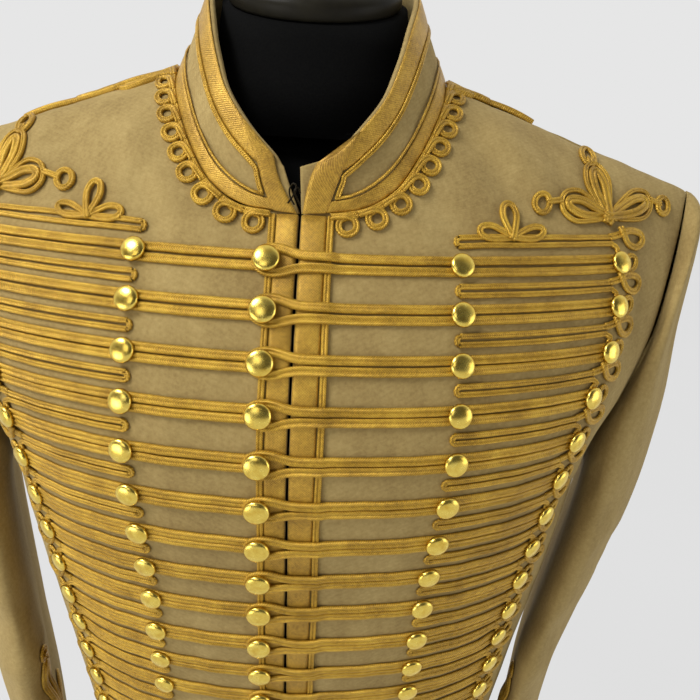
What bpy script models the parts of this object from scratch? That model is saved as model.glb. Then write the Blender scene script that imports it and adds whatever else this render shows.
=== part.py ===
"""Hussar jacket on a limbless dress form.

The jacket is worn cloth: two fronts, two backs, two sleeves and a stand collar, each a thin
wall with 0.3 mm seams, trimmed with gold lace, rows of double braid, looped cord and buttons.
Sizes are millimetres and heights are counted from the pit of the neck, which stands
PIT_HEIGHT above the floor. The mesh function turns both into metres above the floor.
+X is the wearer's left, -Y is the front, +Z is up.
"""

import math

import bmesh
import bpy
from mathutils import Vector

MM = 0.001
PIT_HEIGHT = 680.0

CLOTH = 2.0
COLLAR_CLOTH = 2.5
SEAM = 0.3
SEAM_HALF = 0.2
LAY = 0.5

MID_Y = 4.0
WIDTH_POWER = 2.2
SHOULDER_ROLL = 200.0
HEM_Z = -398.0
ARMPIT_Z = -150.0

NECK_X = 75.0
NECK_Z = 68.0
SHOULDER_SLOPE = 1 / 3
SHOULDER_X = 230.0
SHOULDER_Z = NECK_Z - (SHOULDER_X - NECK_X) * SHOULDER_SLOPE
NECK_CURVE = -0.00204

LEFT = 1
RIGHT = -1
SIDE_NAMES = {LEFT: "left", RIGHT: "right"}
EDGE_X = {LEFT: 0.3, RIGHT: 1.5}

ROWS = 16
ROW_PITCH = 24.3
FIRST_ROW_ARC = 25.0

# Height, y of the front at the centre line before the shoulder rolls it back.
FRONT_DEPTH = (
    (-410, -90.0),
    (-400, -90.0),
    (-360, -93.0),
    (-320, -98.0),
    (-280, -103.0),
    (-240, -110.0),
    (-200, -114.0),
    (-160, -121.0),
    (-120, -124.0),
    (-80, -120.3),
    (-40, -113.4),
    (0, -100.3),
    (30, -92.0),
    (70, -78.0),
)

# Height, y of the back at the centre line.
BACK_DEPTH = (
    (-410, 71.0),
    (-400, 70.0),
    (-300, 80.0),
    (-200, 94.0),
    (-120, 101.0),
    (-60, 102.0),
    (-20, 99.0),
)

# Height, half width of the body.
HALF_WIDTH = (
    (-410, 151.0),
    (-400, 150.0),
    (-350, 157.0),
    (-300, 164.0),
    (-250, 172.0),
    (-200, 179.0),
    (-150, 186.0),
    (-138, 188.2),
    (-125, 193.0),
    (-112, 199.5),
    (-100, 205.5),
    (-80, 214.0),
    (-60, 221.0),
    (-25, 229.0),
    (0, 232.5),
    (40, 236.0),
)

# Height, half width at the armhole seam.
ARMHOLE = (
    (-150, 186.0),
    (-130, 186.0),
    (-108, 191.0),
    (-87, 199.0),
    (-66, 207.3),
    (-44, 212.4),
    (-22, 218.2),
    (8, 226.0),
    (16.4, 230.0),
)

# Half width and height of the neckline on a front, from the centre to the shoulder seam.
NECKLINE = (
    (0.0, 0.0),
    (28.0, 3.0),
    (45.0, 12.0),
    (56.0, 26.0),
    (65.0, 42.0),
    (71.5, 57.0),
    (NECK_X, NECK_Z),
)

# Half width, y and height of the neckline on a back, from the shoulder seam to the centre.
NAPE = (
    (71.0, 29.0, 73.5),
    (55.0, 49.0, 78.5),
    (29.0, 61.0, 82.0),
    (0.0, 64.0, 83.0),
)

# Half width, y and height of the collar's rim, from the front corner to the centre back.
COLLAR_RIM = (
    (14.0, -77.0, 28.0),
    (27.0, -71.0, 41.0),
    (38.0, -61.0, 55.5),
    (44.5, -50.0, 71.0),
    (49.6, -37.0, 88.0),
    (55.0, -12.0, 106.0),
    (54.5, 15.0, 115.0),
    (43.0, 39.0, 120.5),
    (25.0, 52.0, 124.0),
    (0.0, 56.0, 125.0),
)
COLLAR_CORNER = {LEFT: (-1.0, -78.0, 22.0), RIGHT: (-9.0, -78.0, 22.0)}

# Fraction of the way round the front at which the cloth's sections have their points.
FRONT_COLUMNS = (0.0, 0.2, 0.38, 0.54, 0.68, 0.83, 1.0)
BACK_COLUMNS = (0.0, 0.12, 0.22, 0.29, 0.36, 0.5, 0.66, 0.83, 1.0)
FRONT_LEVELS = (
    HEM_Z,
    -375,
    -350,
    -325,
    -300,
    -272,
    -245,
    -220,
    -195,
    -172,
    -161,
    ARMPIT_Z,
    -144,
    -138,
    -108,
    -87,
    -66,
    -44,
    -22,
)
FRONT_FAN_ENDS = (-15.5, -9.0, -2.5, 4.0, 9.0, 13.0, SHOULDER_Z)
BACK_LEVELS = (HEM_Z, -330, -240, ARMPIT_Z, -138, -108, -66, -22)
BACK_YOKE_STEPS = (0.25, 0.5, 0.75, 1.0)
BACK_FAN_ENDS = (-9.0, 4.0, 11.0, SHOULDER_Z)
BACK_SEAM_SHARES = (0.0, 0.26, 0.52, 0.78, 1.0)
YOKE_FULLNESS = 0.85

# Panel sections whose armhole ends the sleeve's first ring meets, front down and back up.
FRONT_SEAM_ROWS = (25, 22, 18, 16, 14, 13, 11)
BACK_SEAM_ROWS = (4, 5, 6, 7, 9)
ARMHOLE_OUT = (0.968, -0.25)
ARMHOLE_GAP = 0.5

# Sleeve head: half width and height of the outer and of the inner point, depth fore and aft,
# and how far it swings out for each millimetre towards the back.
SLEEVE_HEAD = (
    (237.0, 10.0, 190.0, -151.0, 42.0, 44.0, 0.16),
    (242.0, -14.0, 193.0, -154.0, 50.0, 56.0, 0.32),
    (243.0, -64.0, 197.0, -160.0, 56.0, 66.0, 0.44),
    (245.0, -126.0, 199.0, -171.0, 60.0, 70.0, 0.5),
)

# Sleeve length: height, half width of the inner and of the outer side, depth fore and aft.
SLEEVE_LENGTH = {
    LEFT: (
        (-205.0, 196.0, 237.0, 60.0, 68.0),
        (-335.0, 176.0, 207.0, 54.0, 60.0),
        (-400.0, 172.0, 200.0, 52.0, 56.0),
        (-500.0, 168.0, 196.0, 50.0, 54.0),
        (-590.0, 168.0, 196.0, 50.0, 54.0),
    ),
    RIGHT: (
        (-205.0, 204.0, 246.0, 60.0, 68.0),
        (-335.0, 197.0, 239.0, 54.0, 60.0),
        (-400.0, 192.0, 231.0, 52.0, 56.0),
        (-500.0, 189.0, 226.0, 50.0, 54.0),
        (-590.0, 189.0, 226.0, 50.0, 54.0),
    ),
}
SLEEVE_SWING = {LEFT: 0.54, RIGHT: 0.57}
# Behind its middle a sleeve swings out by this share of that.
SWING_BEHIND = 0.6

# Dress form: height, half width, y of the front and of the back.
FORM_BODY = (
    (-680, 146.0, -76.0, 84.0),
    (-580, 152.0, -88.0, 92.0),
    (-480, 148.0, -87.0, 82.0),
    (-400, 142.0, -83.0, 63.0),
    (-320, 152.0, -91.0, 72.0),
    (-230, 164.0, -103.0, 84.0),
    (-150, 170.0, -113.0, 92.0),
    (-80, 176.0, -108.5, 94.0),
    (-20, 196.0, -98.0, 92.0),
    (28, 215.0, -77.0, 88.0),
    (55, 216.0, -64.0, 85.0),
)
FORM_ROLL = 260.0
SHOULDER_REST = 3.1
FORM_SIDES = 16

# Neck of the form: height, half width, y of the front and of the back.
FORM_NECK = (
    (35, 60.0, -55.0, 40.0),
    (62, 58.0, -51.0, 49.0),
    (80, 54.0, -47.0, 51.0),
)
NECK_TOP = (51.0, -45.5, 49.5)
NECK_TOP_Z = 87.0
NECK_TILT = math.radians(20)
NECK_SIDES = 12

# Neck cap: share of the neck's width and height over its top.
CAP_PROFILE = ((0.86, 0.3), (0.93, 2.0), (0.93, 7.0), (0.8, 12.0), (0.5, 15.0))

# Height, half width of the two columns of buttons beside the centre.
MID_COLUMN = ((-402, 73.0), (-260, 73.0), (-200, 74.5), (-165, 76.5), (-113, 81.0), (-20, 79.5))
SIDE_COLUMN = (
    (-402, 112.0),
    (-330, 121.0),
    (-270, 129.0),
    (-220, 134.0),
    (-190, 138.2),
    (-165, 142.0),
    (-120, 149.5),
    (-90, 156.8),
    (-66, 165.0),
    (-42, 169.2),
    (-20, 171.1),
)
CENTRE_BUTTON_X = 14.5
BAND_PAST_BUTTON = 5.0

LACE_THICK = 1.0
EDGE_LACE = {LEFT: (0.6, 13.2), RIGHT: (2.2, 12.6)}
EDGE_LACE_TOP = -1.5
COLLAR_FOOT = 0.012
COLLAR_LACE_LOW = 0.04
COLLAR_LACE_SEAM = 0.26
COLLAR_LAY = 0.7
COLLAR_LACE_RIM = 0.67
COLLAR_LACE_HIGH = 0.985
COLLAR_END_LACE = 11.0
OVER_LACE = 2.0
HAIRPIN_ABOVE_FIRST = 11.5

BAND_SECTION = ((-4.9, 0.0), (4.9, 0.0), (4.7, 1.2), (0.0, 0.5), (-4.7, 1.2))
HAIRPIN_SECTION = ((-3.5, 0.0), (3.5, 0.0), (3.2, 1.1), (-3.2, 1.1))
CORD_SECTION = ((-1.3, 0.0), (1.3, 0.0), (1.1, 1.3), (-1.1, 1.3))
BRAID_SECTION = ((-2.1, 0.0), (2.1, 0.0), (1.9, 1.2), (-1.9, 1.2))
BRAID_APART = 2.5
KNOT_SECTION = ((-2.4, 0.0), (2.4, 0.0), (2.1, 1.5), (-2.1, 1.5))
CUFF_SECTION = ((-4.6, 0.0), (4.6, 0.0), (4.4, 1.3), (-4.4, 1.3))
RING_SECTION = ((-1.4, 0.0), (1.4, 0.0), (0.0, 1.6))

# Half outline of the loop round a centre button, to where the two braids meet.
BUTTON_LOOP = ((-19.4, 2.6), (-14.0, 5.4), (-4.0, 3.9), (4.0, BRAID_APART))

# Knots on a front, as half widths and heights: crossing, then lobes as tip and width.
KNOT_WAIST = 5.6
SMALL_KNOT_WAIST = 3.4
SMALL_KNOT = (106.5, -9.0)
SMALL_KNOT_LOBES = ((105.0, 5.5, 6.5), (91.0, -4.0, 6.0), (121.5, -4.5, 6.0))
BIG_KNOT = (167.0, 3.0)
BIG_KNOT_LOBES = ((159.0, 24.0, 10.5), (141.0, 8.0, 9.5), (189.0, 9.0, 8.5))
BIG_KNOT_RINGS = (
    (158.6, 26.6, None),
    (124.5, 8.0, (142.0, 8.6)),
    (203.0, 7.5, (188.5, 9.4)),
)

# Cord and rings round the collar seam, in cloth lengths.
NECK_CORD_START = 19.0
NECK_CORD_OUT = 3.4
NECK_RING_OUT = 4.9
NECK_RING_RADIUS = 4.2
NECK_RING_FIRST = 6.0
NECK_RING_PITCH = 13.2

# Half width and width of the plaited cord on the shoulder seam.
SHOULDER_CORD = ((79.0, 11.0), (95.0, 10.0), (112.0, 8.0), (132.0, 5.0))

# Cuff: arc from the sleeve's front fold and height, then the knot as on a front. The path
# bends where the sleeve's sections have their points.
CUFF_LAY = 0.8
CUFF_POINT = (
    (-88.0, -498.0),
    (-58.0, -452.0),
    (-29.5, -405.5),
    (-24.5, -414.5),
    (-9.5, -440.0),
)
CUFF_KNOT = (-29.5, -398.0)
CUFF_KNOT_LOBES = ((-21.0, -333.0, 12.0), (-57.0, -386.0, 11.0), (-6.0, -384.0, 9.0))
CUFF_RING = (-18.5, -329.0, 6.5)

# Side coil, in cloth lengths outward and up: first from a hairpin's end, then from the side
# button that it comes down to.
SIDE_COIL = (
    (-1.5, 1.0),
    (8.5, 5.6),
    (19.5, 2.5),
    (16.5, -5.5),
)
COIL_FOOT = ((4.6, 2.2), (-0.3, 2.2))

SIDE_BUTTON = ((0.0, 0.6), (6.4, 2.6), (0.0, 5.6))
CENTRE_BUTTON = ((0.0, 0.8), (1.5, 0.8), (1.5, 3.5), (6.6, 4.8), (0.0, 7.6))
BUTTON_SIDES = 6


def smooth(table, at):
    """Value of a two column table at a place between its rows, on a smooth curve."""
    keys = [row[0] for row in table]
    values = [row[1] for row in table]
    if at <= keys[0]:
        return values[0]
    if at >= keys[-1]:
        return values[-1]
    k = next(i for i in range(len(keys) - 1) if at <= keys[i + 1])

    def slope(i):
        low = max(i - 1, 0)
        high = min(i + 1, len(keys) - 1)
        return (values[high] - values[low]) / (keys[high] - keys[low])

    span = keys[k + 1] - keys[k]
    t = (at - keys[k]) / span
    return (
        (2 * t**3 - 3 * t**2 + 1) * values[k]
        + (t**3 - 2 * t**2 + t) * span * slope(k)
        + (3 * t**2 - 2 * t**3) * values[k + 1]
        + (t**3 - t**2) * span * slope(k + 1)
    )


def ridge_height(x):
    """Height of the shoulder line over a half width; inside the neck it is only a guide."""
    x = abs(x)
    inside = max(NECK_X - x, 0.0)
    return NECK_Z + (NECK_X - x) * SHOULDER_SLOPE + NECK_CURVE * inside**2


def body_share(x, z, half_width):
    """Share of the centre line's depth that is left at half width x and height z."""
    across = max(1 - (min(abs(x), half_width) / half_width) ** WIDTH_POWER, 0.0)
    drop = min(max((ridge_height(x) - z) / SHOULDER_ROLL, 0.0), 1.0)
    return across ** (1 / WIDTH_POWER) * math.sqrt(1 - (1 - drop) ** 2)


def front_y(x, z):
    share = body_share(x, z, smooth(HALF_WIDTH, z))
    return MID_Y + (smooth(FRONT_DEPTH, z) - MID_Y) * share


def back_y(x, z):
    share = body_share(x, z, smooth(HALF_WIDTH, z))
    return MID_Y + (smooth(BACK_DEPTH, z) - MID_Y) * share


def side_limit(z):
    """Half width where a body panel ends: the armhole seam, or below it the side seam."""
    return smooth(ARMHOLE, z) if z > ARMPIT_Z else smooth(HALF_WIDTH, z)


def row_columns(z, start_x, columns):
    """Half widths of a level section's points, closer together where the body turns."""
    half_width = smooth(HALF_WIDTH, z)
    first = math.asin(start_x / half_width)
    last = math.asin(min(side_limit(z) / half_width, 1.0))
    return [half_width * math.sin(first + (last - first) * c) for c in columns]


def grid_normals(rows, wrap=False):
    """Unit normals of a grid of points, by differences along its rows and columns."""
    count = len(rows)
    width = len(rows[0])
    normals = []
    for j, row in enumerate(rows):
        above = rows[min(j + 1, count - 1)]
        below = rows[max(j - 1, 0)]
        line = []
        for i in range(width):
            if wrap:
                after, before = row[(i + 1) % width], row[i - 1]
            else:
                after, before = row[min(i + 1, width - 1)], row[max(i - 1, 0)]
            line.append((after - before).cross(above[i] - below[i]).normalized())
        normals.append(line)
    return normals


def moved_out(rows, normals, lift):
    return [[p + n * lift for p, n in zip(r, m)] for r, m in zip(rows, normals)]


def wall(outer, inner, wrap=False):
    """Closed wall between an outer and an inner grid of points, as points and faces."""
    count = len(outer)
    width = len(outer[0])
    points = [p for row in outer for p in row] + [p for row in inner for p in row]
    shift = count * width
    faces = []
    for j in range(count - 1):
        for i in range(width if wrap else width - 1):
            k = (i + 1) % width
            a, b, c, d = j * width + i, j * width + k, (j + 1) * width + k, (j + 1) * width + i
            faces.append((a, b, c, d))
            faces.append((d + shift, c + shift, b + shift, a + shift))
    for j, turn in ((0, False), (count - 1, True)):
        for i in range(width if wrap else width - 1):
            a, b = j * width + i, j * width + (i + 1) % width
            face = (a, a + shift, b + shift, b)
            faces.append(face[::-1] if turn else face)
    if not wrap:
        for j in range(count - 1):
            for i, turn in ((0, True), (width - 1, False)):
                a, b = j * width + i, (j + 1) * width + i
                face = (a, a + shift, b + shift, b)
                faces.append(face[::-1] if turn else face)
    return points, faces


def skin(rings):
    """Closed solid through rings of points, with flat ends."""
    width = len(rings[0])
    points = [p for ring in rings for p in ring]
    faces = []
    for j in range(len(rings) - 1):
        for i in range(width):
            k = (i + 1) % width
            faces.append((j * width + i, j * width + k, (j + 1) * width + k, (j + 1) * width + i))
    faces.append(tuple(range(width))[::-1])
    faces.append(tuple(range((len(rings) - 1) * width, len(rings) * width)))
    return points, faces


def base_side(points, side):
    """Points of the wearer's left half, mirrored for the right half."""
    return [[Vector((p.x * side, p.y, p.z)) for p in row] for row in points]


def seam_normals(rows, side, facing):
    """Outward normals of a panel, squared to its seams so that the wall's edges stay parallel."""
    normals = grid_normals(rows)
    for row, line in zip(rows, normals):
        for n in line:
            n *= side * facing
        line[0].x = 0.0
        if row[-1].z <= ARMPIT_Z + 1:
            line[-1].y = 0.0
    for point, n in zip(rows[-1], normals[-1]):
        if abs(point.x) >= NECK_X - 1:
            n.x, n.y, n.z = side * SHOULDER_SLOPE, 0.0, 1.0
    return [[n.normalized() for n in line] for line in normals]


def front_rows(side):
    """Sections of a front: level ones up to the first row, then a fan to the shoulder seam."""
    rows = []
    for z in FRONT_LEVELS:
        line = [Vector((x, front_y(x, z), z)) for x in row_columns(z, EDGE_X[side], FRONT_COLUMNS)]
        if z <= ARMPIT_Z:
            line[-1].y = MID_Y - SEAM_HALF
        rows.append(line)
    first = [p.x for p in rows[-1]]
    shares = [(x - first[0]) / (first[-1] - first[0]) for x in first]
    for (x0, z0), z1 in zip(NECKLINE, FRONT_FAN_ENDS):
        x0 = max(x0, EDGE_X[side])
        x1 = side_limit(z1)
        line = []
        for share in shares:
            x, z = x0 + (x1 - x0) * share, z0 + (z1 - z0) * share
            line.append(Vector((x, front_y(x, z), z)))
        rows.append(line)
    for p in rows[-1]:
        p.y = MID_Y - SEAM_HALF
    return base_side(rows, side)


def back_rows(side):
    """Sections of a back: level ones up to the shoulder blades, then a yoke to neck and seam."""
    rows = []
    for z in BACK_LEVELS:
        line = [Vector((x, back_y(x, z), z)) for x in row_columns(z, SEAM_HALF, BACK_COLUMNS)]
        if z <= ARMPIT_Z:
            line[-1].y = MID_Y + SEAM_HALF
        rows.append(line)
    top = [Vector((max(x, SEAM_HALF), y, z)) for x, y, z in reversed(NAPE)]
    for share in BACK_SEAM_SHARES:
        x = NECK_X + (SHOULDER_X - NECK_X) * share
        top.append(Vector((x, MID_Y + SEAM_HALF, ridge_height(x))))
    start = rows[-1]
    for step, end_z in zip(BACK_YOKE_STEPS, BACK_FAN_ENDS):
        line = []
        for low, high in zip(start, top):
            rise = max(high.z - low.z, 0.0)
            corner = Vector(((low.x + high.x) / 2, low.y, low.z + rise * YOKE_FULLNESS))
            line.append(low * (1 - step) ** 2 + corner * 2 * step * (1 - step) + high * step**2)
        x = side_limit(end_z)
        line[-1] = Vector((x, back_y(x, end_z), end_z))
        rows.append(line)
    rows[-1] = top
    return base_side(rows, side)


def collar_rows():
    """Seam and rim points of the collar, from its right front corner round to its left one."""
    base, rim = [], []
    for side in (RIGHT, LEFT):
        low = [Vector((max(x, EDGE_X[side]) * side, front_y(x, z), z)) for x, z in NECKLINE]
        low += [Vector((x * side, y, z)) for x, y, z in NAPE]
        high = [Vector(COLLAR_CORNER[side])]
        high += [Vector((x * side, y, z)) for x, y, z in COLLAR_RIM]
        base += low if side == RIGHT else low[-2::-1]
        rim += high if side == RIGHT else high[-2::-1]
    return base, rim


def collar_level(base, rim, share, lift=0.0):
    """Points round the collar at a share of its height, moved out by a lift."""
    rows = [base, rim]
    normals = grid_normals(rows)
    line = []
    for low, high, n, m in zip(base, rim, *normals):
        n = -(n + m).normalized()
        line.append(low.lerp(high, share) + n * lift)
    return line


def sleeve_rings(side, fronts, backs):
    """Rings of a sleeve from the armhole to the cuff, and the seam ring's inner points."""
    seam = [(fronts[0][j][-1], fronts[1][j][-1]) for j in FRONT_SEAM_ROWS]
    seam += [(backs[0][j][-1], backs[1][j][-1]) for j in BACK_SEAM_ROWS]
    count = len(seam)
    middle = sum((p for p, _ in seam), Vector()) / count
    outward = Vector((ARMHOLE_OUT[0] * side, 0.0, ARMHOLE_OUT[1]))
    rings = [[]]
    seam_inner = []
    for k, (p, n) in enumerate(seam):
        away = n.cross(seam[(k + 1) % count][0] - seam[k - 1][0]).normalized() * ARMHOLE_GAP
        if away.dot(outward + (middle - p).normalized()) < 0:
            away.negate()
        rings[0].append(p + away)
        seam_inner.append(p - n * CLOTH + away)
    for row in SLEEVE_HEAD:
        rings.append(oval(side, *row, count))
    for z, inner_x, outer_x, front, back in SLEEVE_LENGTH[side]:
        swing = SLEEVE_SWING[side]
        rings.append(oval(side, outer_x, z, inner_x, z, front, back, swing, count))
    return rings, seam_inner


def oval(side, outer_x, outer_z, inner_x, inner_z, front, back, swing, count):
    """Ring round a sleeve from its outer point forwards, down to the inner one and back."""
    centre = Vector(((outer_x + inner_x) / 2, MID_Y, (outer_z + inner_z) / 2))
    reach = Vector((outer_x, MID_Y, outer_z)) - centre
    ring = []
    for k in range(count):
        angle = 2 * math.pi * k / count
        depth = front if math.sin(angle) > 0 else back
        p = centre + reach * math.cos(angle) - Vector((0, depth * math.sin(angle), 0))
        p.x += swing * (p.y - MID_Y) * (SWING_BEHIND if p.y > MID_Y else 1.0)
        ring.append(Vector((p.x * side, p.y, p.z)))
    return ring


def on_front(side, x, z, lift):
    """Point over a front at half width x and height z, lifted off the cloth."""
    step = 0.5
    slope_x = (front_y(x + step, z) - front_y(x - step, z)) / (2 * step)
    slope_z = (front_y(x, z + step) - front_y(x, z - step)) / (2 * step)
    normal = Vector((slope_x, -1.0, slope_z)).normalized()
    p = Vector((x, front_y(x, z), z)) + normal * lift
    return Vector((p.x * side, p.y, p.z))


def on_sleeve(side, arc, z, lift):
    """Point over a sleeve at a height, at an arc from its front fold towards the outside."""
    table = SLEEVE_LENGTH[side]
    columns = [tuple((-row[0], row[c]) for row in table) for c in range(1, 5)]
    inner_x, outer_x, front, back = (smooth(column, -z) for column in columns)
    middle, half = (inner_x + outer_x) / 2, (outer_x - inner_x) / 2
    swing = SLEEVE_SWING[side]
    step = math.radians(2 if arc > 0 else -2)
    angle = 0.0
    left_over = abs(arc)
    while True:
        depth = front if math.cos(angle) > 0 else back
        lean = swing if math.cos(angle) > 0 else swing * SWING_BEHIND
        across = half * math.cos(angle) + lean * depth * math.sin(angle)
        run = math.hypot(across, depth * math.sin(angle)) * abs(step)
        if run >= left_over:
            angle += step * left_over / run
            break
        left_over -= run
        angle += step
    depth = front if math.cos(angle) > 0 else back
    p = Vector((middle + half * math.sin(angle), MID_Y - depth * math.cos(angle), z))
    lean = swing if math.cos(angle) > 0 else swing * SWING_BEHIND
    p.x += lean * (p.y - MID_Y)
    slope = math.sin(angle) / half
    p += Vector((slope, -math.cos(angle) / depth - lean * slope, 0)).normalized() * lift
    return Vector((p.x * side, p.y, p.z))


def stretch(on, side, x, z):
    """Cloth length for each unit along and up at a place on a surface."""
    along = on(side, x + 0.5, z, 0.0) - on(side, x - 0.5, z, 0.0)
    up = on(side, x, z + 0.5, 0.0) - on(side, x, z - 0.5, 0.0)
    return along.length, up.length


def braid(on, side, path, section, closed=False):
    """Strip laid on a surface along a path of places and lifts.

    The section lists offsets across the strip and lifts; it runs once round the strip.
    """
    rings = []
    count = len(path)
    for k, (x, z, base) in enumerate(path):
        if closed:
            after, before = path[(k + 1) % count], path[k - 1]
        else:
            after, before = path[min(k + 1, count - 1)], path[max(k - 1, 0)]
        across_x, across_z = stretch(on, side, x, z)
        run = Vector(((after[0] - before[0]) * across_x, (after[1] - before[1]) * across_z))
        run.normalize()
        ring = []
        for offset, lift in section:
            px = x - run.y * offset / across_x
            pz = z + run.x * offset / across_z
            ring.append(on(side, px, pz, base + lift))
        rings.append(ring)
    if closed:
        return hoop(rings)
    return skin(rings)


def hoop(rings):
    """Closed ring-shaped solid through rings of points."""
    width = len(rings[0])
    count = len(rings)
    points = [p for ring in rings for p in ring]
    faces = []
    for j in range(count):
        n = (j + 1) % count
        for i in range(width):
            k = (i + 1) % width
            faces.append((j * width + i, j * width + k, n * width + k, n * width + i))
    return points, faces


def placed(x, z, outline):
    """Half widths and heights of an outline given in cloth lengths across and up a place."""
    across_x, across_z = stretch(on_front, LEFT, x, z)
    return [(x + a / across_x, z + b / across_z) for a, b in outline]


def pad(on, side, outline, low, high, dimple):
    """Flat coil of cord as a low solid with a dimpled middle, from an outline of places."""
    count = len(outline)
    points = [on(side, a, b, low) for a, b in outline]
    points += [on(side, a, b, high) for a, b in outline]
    mean_x = sum(a for a, _ in outline) / count
    mean_z = sum(b for _, b in outline) / count
    points.append(on(side, mean_x, mean_z, dimple))
    faces = [tuple(range(count))[::-1]]
    for i in range(count):
        k = (i + 1) % count
        faces.append((i, k, k + count, i + count))
        faces.append((i + count, k + count, 2 * count))
    return points, faces


def turned(side, x, z, profile, sides):
    """Button turned about the cloth's normal, from radii and lifts ending on the axis."""
    foot = on_front(side, x, z, 0.0)
    axis = (on_front(side, x, z, 1.0) - foot).normalized()
    up = axis.cross(Vector((1, 0, 0))).normalized()
    across = up.cross(axis)
    rings = []
    for radius, lift in profile:
        if radius == 0:
            rings.append([foot + axis * lift])
            continue
        ring = []
        for k in range(sides):
            a = 2 * math.pi * k / sides
            ring.append(foot + axis * lift + (across * math.cos(a) + up * math.sin(a)) * radius)
        rings.append(ring)
    points = [p for ring in rings for p in ring]
    starts = [sum(len(r) for r in rings[:k]) for k in range(len(rings))]
    faces = []
    for k in range(len(rings) - 1):
        a, b = starts[k], starts[k + 1]
        for i in range(sides):
            n = (i + 1) % sides
            if len(rings[k]) == 1:
                faces.append((a, b + n, b + i))
            elif len(rings[k + 1]) == 1:
                faces.append((a + i, a + n, b))
            else:
                faces.append((a + i, a + n, b + n, b + i))
    return points, faces


def finish(name, colour, roughness, metallic=0.0):
    material = bpy.data.materials.new(name)
    material.use_nodes = True
    shader = material.node_tree.nodes["Principled BSDF"]
    shader.inputs["Base Color"].default_value = (*colour, 1.0)
    shader.inputs["Roughness"].default_value = roughness
    shader.inputs["Metallic"].default_value = metallic
    return material


def solid(name, shape, material, collection, triangles=True):
    """Object from points in millimetres above the pit of the neck, and faces."""
    points, faces = shape
    mesh = bpy.data.meshes.new(name)
    raised = Vector((0, 0, PIT_HEIGHT))
    mesh.from_pydata([(p + raised) * MM for p in points], [], faces)
    edit = bmesh.new()
    edit.from_mesh(mesh)
    bmesh.ops.recalc_face_normals(edit, faces=edit.faces)
    if triangles:
        bmesh.ops.triangulate(edit, faces=edit.faces)
    edit.to_mesh(mesh)
    edit.free()
    mesh.materials.append(material)
    obj = bpy.data.objects.new(name, mesh)
    collection.objects.link(obj)
    return obj


def fused(name, shapes, material, collection, spare):
    """One body from several overlapping shapes, joined by Boolean unions."""
    obj = solid(name, shapes[0], material, collection, triangles=False)
    cutters = []
    for k, shape in enumerate(shapes[1:]):
        cutters.append(solid(f"{name}_joined_{k}", shape, material, spare, triangles=False))
    for cutter in cutters:
        union = obj.modifiers.new("union", "BOOLEAN")
        union.operation = "UNION"
        union.solver = "EXACT"
        union.object = cutter
    graph = bpy.context.evaluated_depsgraph_get()
    mesh = bpy.data.meshes.new_from_object(obj.evaluated_get(graph))
    edit = bmesh.new()
    edit.from_mesh(mesh)
    bmesh.ops.triangulate(edit, faces=edit.faces)
    edit.to_mesh(mesh)
    edit.free()
    obj.modifiers.clear()
    obj.data = mesh
    for cutter in cutters:
        bpy.data.objects.remove(cutter)
    return obj


def row_heights():
    """Heights of the rows, spaced evenly along the front's profile down the centre."""
    heights = []
    z = 0.0
    arc = 0.0
    step = 0.5
    while len(heights) < ROWS:
        z -= step
        arc += math.hypot(front_y(0.0, z) - front_y(0.0, z + step), step)
        if arc >= FIRST_ROW_ARC + len(heights) * ROW_PITCH:
            heights.append(z)
    return heights


def level_path(side, z, fixed, margin=2.5):
    """Path along a level row that bends where the cloth's sections have their points."""
    places = list(fixed)
    for x in row_columns(z, EDGE_X[side], FRONT_COLUMNS):
        if fixed[0] < x < fixed[-1] and min(abs(x - p) for p in fixed) > margin:
            places.append(x)
    return [(x, z, LAY) for x in sorted(places)]


def row_shapes(side, z, hairpin_z):
    """Braid, hairpin, side coil and buttons of one row on one front."""
    mid, outer = smooth(MID_COLUMN, z), smooth(SIDE_COLUMN, z)
    high = smooth(SIDE_COLUMN, hairpin_z)
    end = outer + BAND_PAST_BUTTON
    if side == LEFT:
        run = [(x, BRAID_APART, lift) for x, _, lift in level_path(side, z, (20.0, mid, end))]
        run = [(a, b, OVER_LACE) for a, b in (*BUTTON_LOOP, (14.5, BRAID_APART))] + run
        path = [(x, z + up, lift) for x, up, lift in reversed(run)]
        path += [(x, z - up, lift) for x, up, lift in run]
        shapes = [braid(on_front, side, path, BRAID_SECTION)]
    else:
        path = level_path(side, z, (EDGE_LACE[side][1] + SEAM, mid, end))
        shapes = [braid(on_front, side, path, BAND_SECTION)]
        shapes.append(turned(side, CENTRE_BUTTON_X, z, CENTRE_BUTTON, BUTTON_SIDES))
    hairpin = level_path(side, hairpin_z, (mid - 2, high + 1))
    shapes.append(braid(on_front, side, hairpin, HAIRPIN_SECTION))
    coil = placed(high, hairpin_z, SIDE_COIL) + placed(outer, z, COIL_FOOT)
    shapes.append(pad(on_front, side, coil, 1.1, 2.1, 1.5))
    shapes.append(turned(side, mid, z, SIDE_BUTTON, BUTTON_SIDES))
    shapes.append(turned(side, outer, z, SIDE_BUTTON, BUTTON_SIDES))
    return shapes


def edge_lace(side):
    """Woven lace down one side of the opening, from the collar seam to the hem."""
    low, high = EDGE_LACE[side]
    heights = [HEM_Z + SEAM] + [z for z in FRONT_LEVELS[1:]] + [EDGE_LACE_TOP]
    rings = []
    for z in heights:
        ring = [on_front(side, x, z, LAY) for x in (low, high)]
        ring += [on_front(side, x, z, LAY + LACE_THICK) for x in (high, low)]
        rings.append(ring)
    return skin(rings)


def circle(x, z, radius, sides=6, lean=0.0):
    turns = [lean + 2 * math.pi * k / sides for k in range(sides)]
    return [(x + radius * math.cos(a), z + radius * math.sin(a)) for a in turns]


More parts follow.
